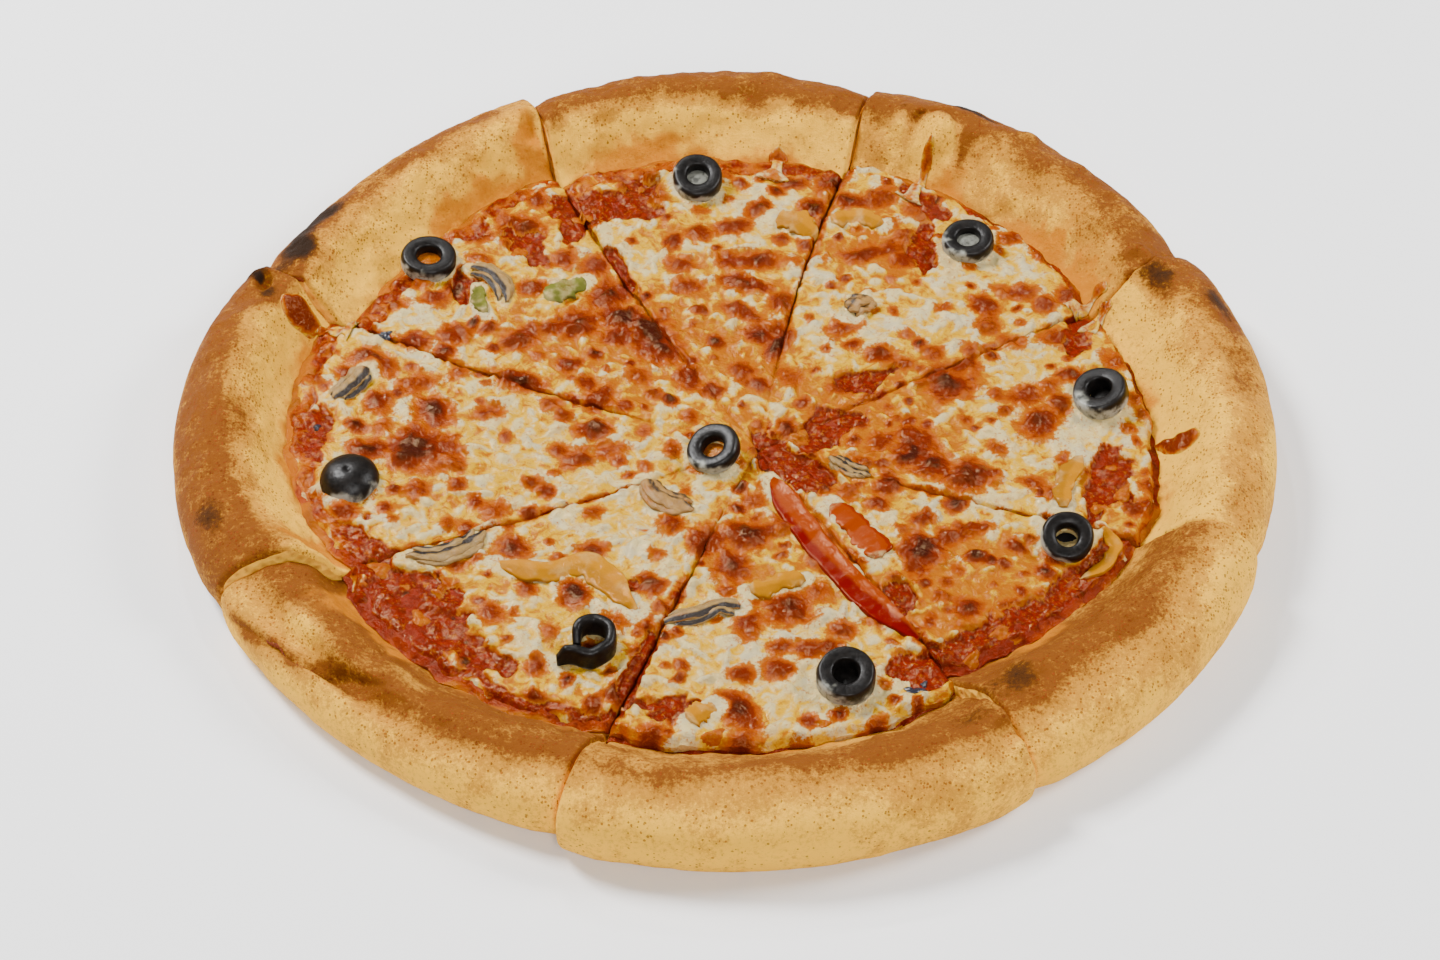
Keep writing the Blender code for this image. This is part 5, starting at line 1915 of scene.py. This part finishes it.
def crust_spill(entry, tree, finish):
    """Patch of cheese and sauce baked on to the crust."""
    node, angle, inset, half_along, half_across, thickness, lean = entry
    outer = float(rim_radius(slice_at(angle), np.array([angle]))[0]) - inset
    turn = math.radians(angle)
    cx, cy = outer * math.cos(turn), outer * math.sin(turn)
    turn = turn + math.radians(lean)
    rings, around = SPILL_GRID
    points = []
    tones = []
    for ring in range(rings + 1):
        size = ring / rings
        for k in range(around):
            spin = math.tau * k / around
            wobble = 1.0 + 0.12 * math.sin(2.0 * spin + 0.6) + 0.05 * math.sin(5.0 * spin)
            tail = 1.0 + 0.55 * math.sin(spin) if half_across > 2.0 * half_along else 1.0
            along = half_along * size * wobble * math.cos(spin) * tail
            across = half_across * size * wobble * math.sin(spin)
            x = cx + across * math.cos(turn) - along * math.sin(turn)
            y = cy + across * math.sin(turn) + along * math.cos(turn)
            under = height_below(tree, x, y, BASE_TOP)
            rise = thickness * (1.0 - size ** 3.0) - 0.15 * size
            points.append((x, y, under + rise))
            tones.append(size)
    points = np.array(points)
    tones = np.array(tones)
    bumps = rough_at(points, 3.0, 3)
    points[:, 2] += 0.35 * bumps * (1.0 - tones ** 2)
    brown = 0.75 * (1.0 - smooth((tones - 0.66 + 0.12 * bumps) / 0.30))
    scorch = (0.30 * bumps + 0.30 * (lean != 0.0)) * (1.0 - tones)
    tomato = 0.30 + 0.15 * bumps
    layer = layer_of(0.1 + tones * 0.4, brown, scorch, tomato)
    obj = new_mesh(node.replace("_crust", "_baked"), points,
                   disc_faces(rings, around, flip=True), {"melt": layer}, [finish])
    take_node(obj, node)


def small_pieces(name, places, tree, thickness, layer_name, tone, finish):
    """Flat rough pieces that lie on whatever is under them, joined in one mesh."""
    points = []
    faces = []
    rings, around = PIECE_GRID
    for number, (x, y, long, wide, turn) in enumerate(places):
        faces += disc_faces(rings, around, len(points))
        spin = math.radians(turn)
        for ring in range(rings + 1):
            lean = ring / rings * math.pi / 2.0
            for k in range(around):
                way = math.tau * k / around
                size = math.sin(lean) * (1.0 + 0.16 * math.sin(3.0 * way + number)
                                         + 0.10 * math.sin(5.0 * way + 2.0 * number))
                u = long * size * math.cos(way)
                v = wide * size * math.sin(way)
                px = x + u * math.cos(spin) - v * math.sin(spin)
                py = y + u * math.sin(spin) + v * math.cos(spin)
                under = height_below(tree, px, py, CHEESE_TOP)
                points.append((px, py, under - 0.3 + (thickness + 0.3) * math.cos(lean)))
    points = np.array(points)
    points[:, 2] += 0.25 * rough_at(points, 1.8, 2)
    layer = np.tile(np.array(tone, np.float32), (len(points), 1))
    obj = new_mesh(name, points, faces, {layer_name: layer}, [finish])
    on_body(obj)


def cheese_strands(tree, finish):
    """Strands of cheese drawn up the inner side of the crust."""
    for number, entry in enumerate(STRANDS):
        *points, half = entry
        count, section = STRAND_GRID
        path = curve_path(points, count)
        grid = np.zeros((count, section, 3))
        for k, (x, y) in enumerate(path):
            before = path[max(0, k - 1)]
            after = path[min(count - 1, k + 1)]
            dx, dy = after[0] - before[0], after[1] - before[1]
            size = math.hypot(dx, dy)
            share = k / (count - 1)
            sway = 1.0 + 0.22 * math.sin(11.0 * share + 2.0 * number)
            wide = half * sway * (0.9 * (1.0 - share) ** 1.6
                                  + 0.40 * hump((share - 0.84) / 0.19)) + 0.5
            for s in range(section):
                turn = math.tau * s / section
                side = math.cos(turn) * wide
                px = x - dy / size * side
                py = y + dx / size * side
                up = height_below(tree, px, py, CHEESE_TOP) + 0.25
                grid[k, s] = (px, py, up + math.sin(turn) * (0.8 - 0.3 * share))
        patch = rough_at(grid.reshape(-1, 3), 3.0, 2)
        place_on = np.repeat(np.linspace(0.0, 1.0, count), section)
        middle = np.tile(1.0 - np.abs(np.cos(np.arange(section) * math.tau / section)), count)
        toasted = (0.2 + 0.4 * middle) * hump((place_on - 0.80) / 0.22) + 0.25 * patch
        tones = layer_of(0.75 + 0.4 * patch, toasted, 0.0 * patch, 0.15 + 0.3 * middle)
        obj = strip_mesh("cheese_strand_" + str(number + 1), [grid], "melt", [tones], finish)
        on_body(obj)


def read_rows(items, name, width):
    """One row of values for each item of a mesh."""
    held = np.zeros(len(items) * width)
    items.foreach_get(name, held)
    return held.reshape(-1, width)


def semolina(objects, look, finish):
    """Grains of semolina and bran that cling to the crust."""
    draw = np.random.default_rng(GRAIN_SEED)
    places = []
    normals = []
    weights = []
    for obj in objects:
        mesh = obj.data
        place = read_rows(mesh.vertices, "co", 3)
        normal = read_rows(mesh.vertex_normals, "vector", 3)
        dust = read_rows(mesh.attributes["bake"].data, "color", 4)[:, 3]
        area = np.zeros(len(place))
        for face in mesh.polygons:
            for vertex in face.vertices:
                area[vertex] += face.area
        upward = (normal[:, 2] > 0.05) * (place[:, 2] > 0.003)
        places.append(place)
        normals.append(normal)
        weights.append(dust ** 1.5 * upward * area)
    places = np.concatenate(places)
    normals = np.concatenate(normals)
    weights = np.concatenate(weights)
    chosen = draw.choice(len(places), size=look.grains, p=weights / weights.sum())
    count = len(chosen)
    centre = places[chosen] + draw.uniform(-0.0005, 0.0005, (count, 3))
    normal = normals[chosen]
    side = np.cross(normal, draw.normal(size=(count, 3)))
    side = side / np.linalg.norm(side, axis=1, keepdims=True)
    other = np.cross(normal, side)
    size = draw.uniform(0.16, 0.42, count) * MM
    long = draw.uniform(0.8, 1.7, count)
    centre = centre - normal * (np.sum((centre - places[chosen]) * normal, axis=1,
                                       keepdims=True))
    points = []
    for bx, by, bz in GRAIN_CORNERS:
        points.append(centre + side * (bx * size * long)[:, None]
                      + other * (by * size)[:, None] + normal * (bz * size * 0.8)[:, None])
    points = np.stack(points, axis=1).reshape(-1, 3) / MM
    starts = np.arange(count) * len(GRAIN_CORNERS)
    faces = (starts[:, None, None] + np.array(GRAIN_FACES)[None, :, :]).reshape(-1, 3)
    layer = layer_of(np.repeat(draw.random(count), len(GRAIN_CORNERS)))
    obj = new_mesh("semolina_grains", points, faces, {"tone": layer}, [finish])
    obj.data.polygons.foreach_set("use_smooth", [False] * len(obj.data.polygons))
    on_body(obj)


# Operators


def crust_objects():
    """The crust pieces already made."""
    return [bpy.data.objects["crust_" + entry["name"]] for entry in SLICES]


def named_finish(name, maker, *values):
    """A material, made the first time it is asked for."""
    held = bpy.data.materials.get(name)
    return held if held is not None else maker(*values)


class PIZZA_OT_crust(Operator):
    """Build the baked dough of every slice"""
    bl_idname = "pizza.crust"
    bl_label = "Crust"

    def execute(self, context):
        look = context.scene.pizza_crust
        finishes = [crust_finish(look), crumb_finish(look), underside_finish(look)]
        for index in range(len(SLICES)):
            crust_slice(index, finishes)
        return {"FINISHED"}


class PIZZA_OT_layers(Operator):
    """Build the tomato sauce and the melted cheese of every slice"""
    bl_idname = "pizza.layers"
    bl_label = "Sauce and Cheese"

    def execute(self, context):
        look = context.scene.pizza_toppings
        sauce = sauce_finish(look)
        cheese = cheese_finish(look)
        fields = Toppings()
        for index in range(len(SLICES)):
            sauce_slice(index, fields, sauce)
            cheese_slice(index, fields, look, cheese)
        return {"FINISHED"}


class PIZZA_OT_olives(Operator):
    """Build the olive slices and what stands in their holes"""
    bl_idname = "pizza.olives"
    bl_label = "Olives"

    def execute(self, context):
        look = context.scene.pizza_toppings
        finish = olive_finish(look)
        fills = []
        for entry in OLIVES:
            olive_ring(entry, finish, fills)
        hole_fills("olive_hole_oil", fills, "melt", {"orange": (0.0, 0.25, 0.0, 0.40)},
                   named_finish("cheese_melt", cheese_finish, look))
        # Grey plugs carry film and a painted sheen; dark plugs are olive-black discs of painted
        # shade in the holes
        hole_fills("olive_hole_plugs", fills, "film_and_sheen",
                   {"grey": (0.55, 0.3, 0.0, 0.0), "dark": (0.0, 0.0, 0.0, 0.0)}, finish)
        olive_end(finish)
        olive_curl(surface_tree(["melted_", "tomato_"]), finish)
        return {"FINISHED"}


class PIZZA_OT_mushrooms(Operator):
    """Build the mushroom slices"""
    bl_idname = "pizza.mushrooms"
    bl_label = "Mushrooms"

    def execute(self, context):
        finish = mushroom_finish(context.scene.pizza_toppings)
        tree = surface_tree(["melted_", "tomato_"])
        for entry in MUSHROOMS:
            mushroom_slice(entry, tree, finish)
        return {"FINISHED"}


class PIZZA_OT_peppers(Operator):
    """Build the pepper strips"""
    bl_idname = "pizza.peppers"
    bl_label = "Peppers"

    def execute(self, context):
        look = context.scene.pizza_toppings
        finishes = {
            "red": pepper_finish("red_pepper", look, look.red, look.orange),
            "yellow": pepper_finish("yellow_pepper", look, shade(look.yellow, 0.82),
                                    shade(look.yellow, 1.08)),
            "green": pepper_finish("green_pepper", look, look.green, shade(look.green, 1.4)),
            "orange": pepper_finish("orange_pepper", look, between(look.red, look.orange, 0.45),
                                    look.orange),
        }
        tree = surface_tree(["melted_", "tomato_"])
        for entry in PEPPERS:
            pepper_strip(entry, tree, finishes)
        return {"FINISHED"}


class PIZZA_OT_spills(Operator):
    """Build the spills and strands on the crust, the tomato flakes and the burnt bits"""
    bl_idname = "pizza.spills"
    bl_label = "Spills on the Crust"

    def execute(self, context):
        look = context.scene.pizza_toppings
        tree = surface_tree(["crust_"])
        finish = named_finish("cheese_melt", cheese_finish, look)
        for entry in SPILLS:
            crust_spill(entry, tree, finish)
        tree = surface_tree(["crust_", "melted_", "tomato_"])
        cheese_strands(tree, finish)
        small_pieces("tomato_flakes", TOMATO_FLAKES, tree, 0.7, "melt", (0.0, 0.3, 0.0, 1.0),
                     finish)
        small_pieces("burnt_bits", BURNT_BITS, tree, 0.8, "film_and_sheen", (0.0, 0.0, 0.0, 0.0),
                     named_finish("black_olive", olive_finish, look))
        return {"FINISHED"}


class PIZZA_OT_semolina(Operator):
    """Scatter semolina over the crust"""
    bl_idname = "pizza.semolina"
    bl_label = "Semolina"

    def execute(self, context):
        look = context.scene.pizza_crust
        semolina(crust_objects(), look, grain_finish(look))
        return {"FINISHED"}


def soft_light(name, place, size, power):
    """Round light aimed at the middle of the pizza."""
    data = bpy.data.lights.new(name, "AREA")
    data.shape = "DISK"
    data.size = size
    data.energy = power
    light = bpy.data.objects.new(name, data)
    light.location = place
    light.rotation_euler = (-Vector(place)).to_track_quat("-Z", "Y").to_euler()
    bpy.context.scene.collection.objects.link(light)


class PIZZA_OT_stage(Operator):
    """Set up the floor, the light and the camera"""
    bl_idname = "pizza.stage"
    bl_label = "Stage"

    def execute(self, context):
        look = context.scene.pizza_stage
        half = FLOOR_HALF
        mesh = bpy.data.meshes.new("floor")
        mesh.from_pydata([(-half, -half, 0), (half, -half, 0), (half, half, 0), (-half, half, 0)],
                         [], [(0, 1, 2, 3)])
        finish = Finish("floor")
        finish.colour = FLOOR_COLOUR
        mesh.materials.append(finish.gloss(0.9))
        floor = bpy.data.objects.new("floor", mesh)
        context.scene.collection.objects.link(floor)
        world = bpy.data.worlds.new("studio")
        world.use_nodes = True
        sky = world.node_tree.nodes["Background"]
        sky.inputs["Color"].default_value = (1.0, 1.0, 1.0, 1.0)
        sky.inputs["Strength"].default_value = look.sky
        context.scene.world = world
        for lights, power in ((MAIN_LIGHTS, look.key), (SMALL_LIGHTS, look.spark)):
            for name, place, size, share in lights:
                soft_light(name, place, size, power * share)
        camera = bpy.data.cameras.new("camera")
        camera.lens = look.lens
        camera.sensor_width = FILM_WIDTH
        viewer = bpy.data.objects.new("camera", camera)
        viewer.location = CAMERA_PLACE
        viewer.rotation_euler = (math.pi / 2.0 - look.height, 0.0, 0.0)
        context.scene.collection.objects.link(viewer)
        context.scene.camera = viewer
        return {"FINISHED"}


class PIZZA_PT_panel(Panel):
    """Buttons that build the pizza"""
    bl_idname = "PIZZA_PT_panel"
    bl_label = "Vegetarian Pizza"
    bl_space_type = "VIEW_3D"
    bl_region_type = "UI"
    bl_category = "Pizza"

    def draw(self, context):
        for group in (context.scene.pizza_crust, context.scene.pizza_toppings,
                      context.scene.pizza_stage):
            box = self.layout.box()
            for name in group.bl_rna.properties.keys():
                if name not in ("rna_type", "name"):
                    box.prop(group, name)
        for operator in OPERATORS:
            self.layout.operator(operator.bl_idname)


OPERATORS = (PIZZA_OT_crust, PIZZA_OT_layers, PIZZA_OT_olives, PIZZA_OT_mushrooms,
             PIZZA_OT_peppers, PIZZA_OT_spills, PIZZA_OT_semolina, PIZZA_OT_stage)
GROUPS = (PIZZA_PG_crust, PIZZA_PG_toppings, PIZZA_PG_stage)


def register():
    """Register the settings, the operators and the panel."""
    for entry in GROUPS + OPERATORS + (PIZZA_PT_panel,):
        bpy.utils.register_class(entry)
    bpy.types.Scene.pizza_crust = PointerProperty(type=PIZZA_PG_crust)
    bpy.types.Scene.pizza_toppings = PointerProperty(type=PIZZA_PG_toppings)
    bpy.types.Scene.pizza_stage = PointerProperty(type=PIZZA_PG_stage)


def unregister():
    """Take the settings, the operators and the panel away again."""
    del bpy.types.Scene.pizza_stage
    del bpy.types.Scene.pizza_toppings
    del bpy.types.Scene.pizza_crust
    for entry in reversed(GROUPS + OPERATORS + (PIZZA_PT_panel,)):
        bpy.utils.unregister_class(entry)


def main():
    """Register the add-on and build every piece."""
    register()
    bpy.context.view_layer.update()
    bpy.ops.pizza.crust()
    bpy.ops.pizza.layers()
    bpy.ops.pizza.olives()
    bpy.ops.pizza.mushrooms()
    bpy.ops.pizza.peppers()
    bpy.ops.pizza.spills()
    bpy.ops.pizza.semolina()
    bpy.ops.pizza.stage()


if __name__ == "__main__":
    main()
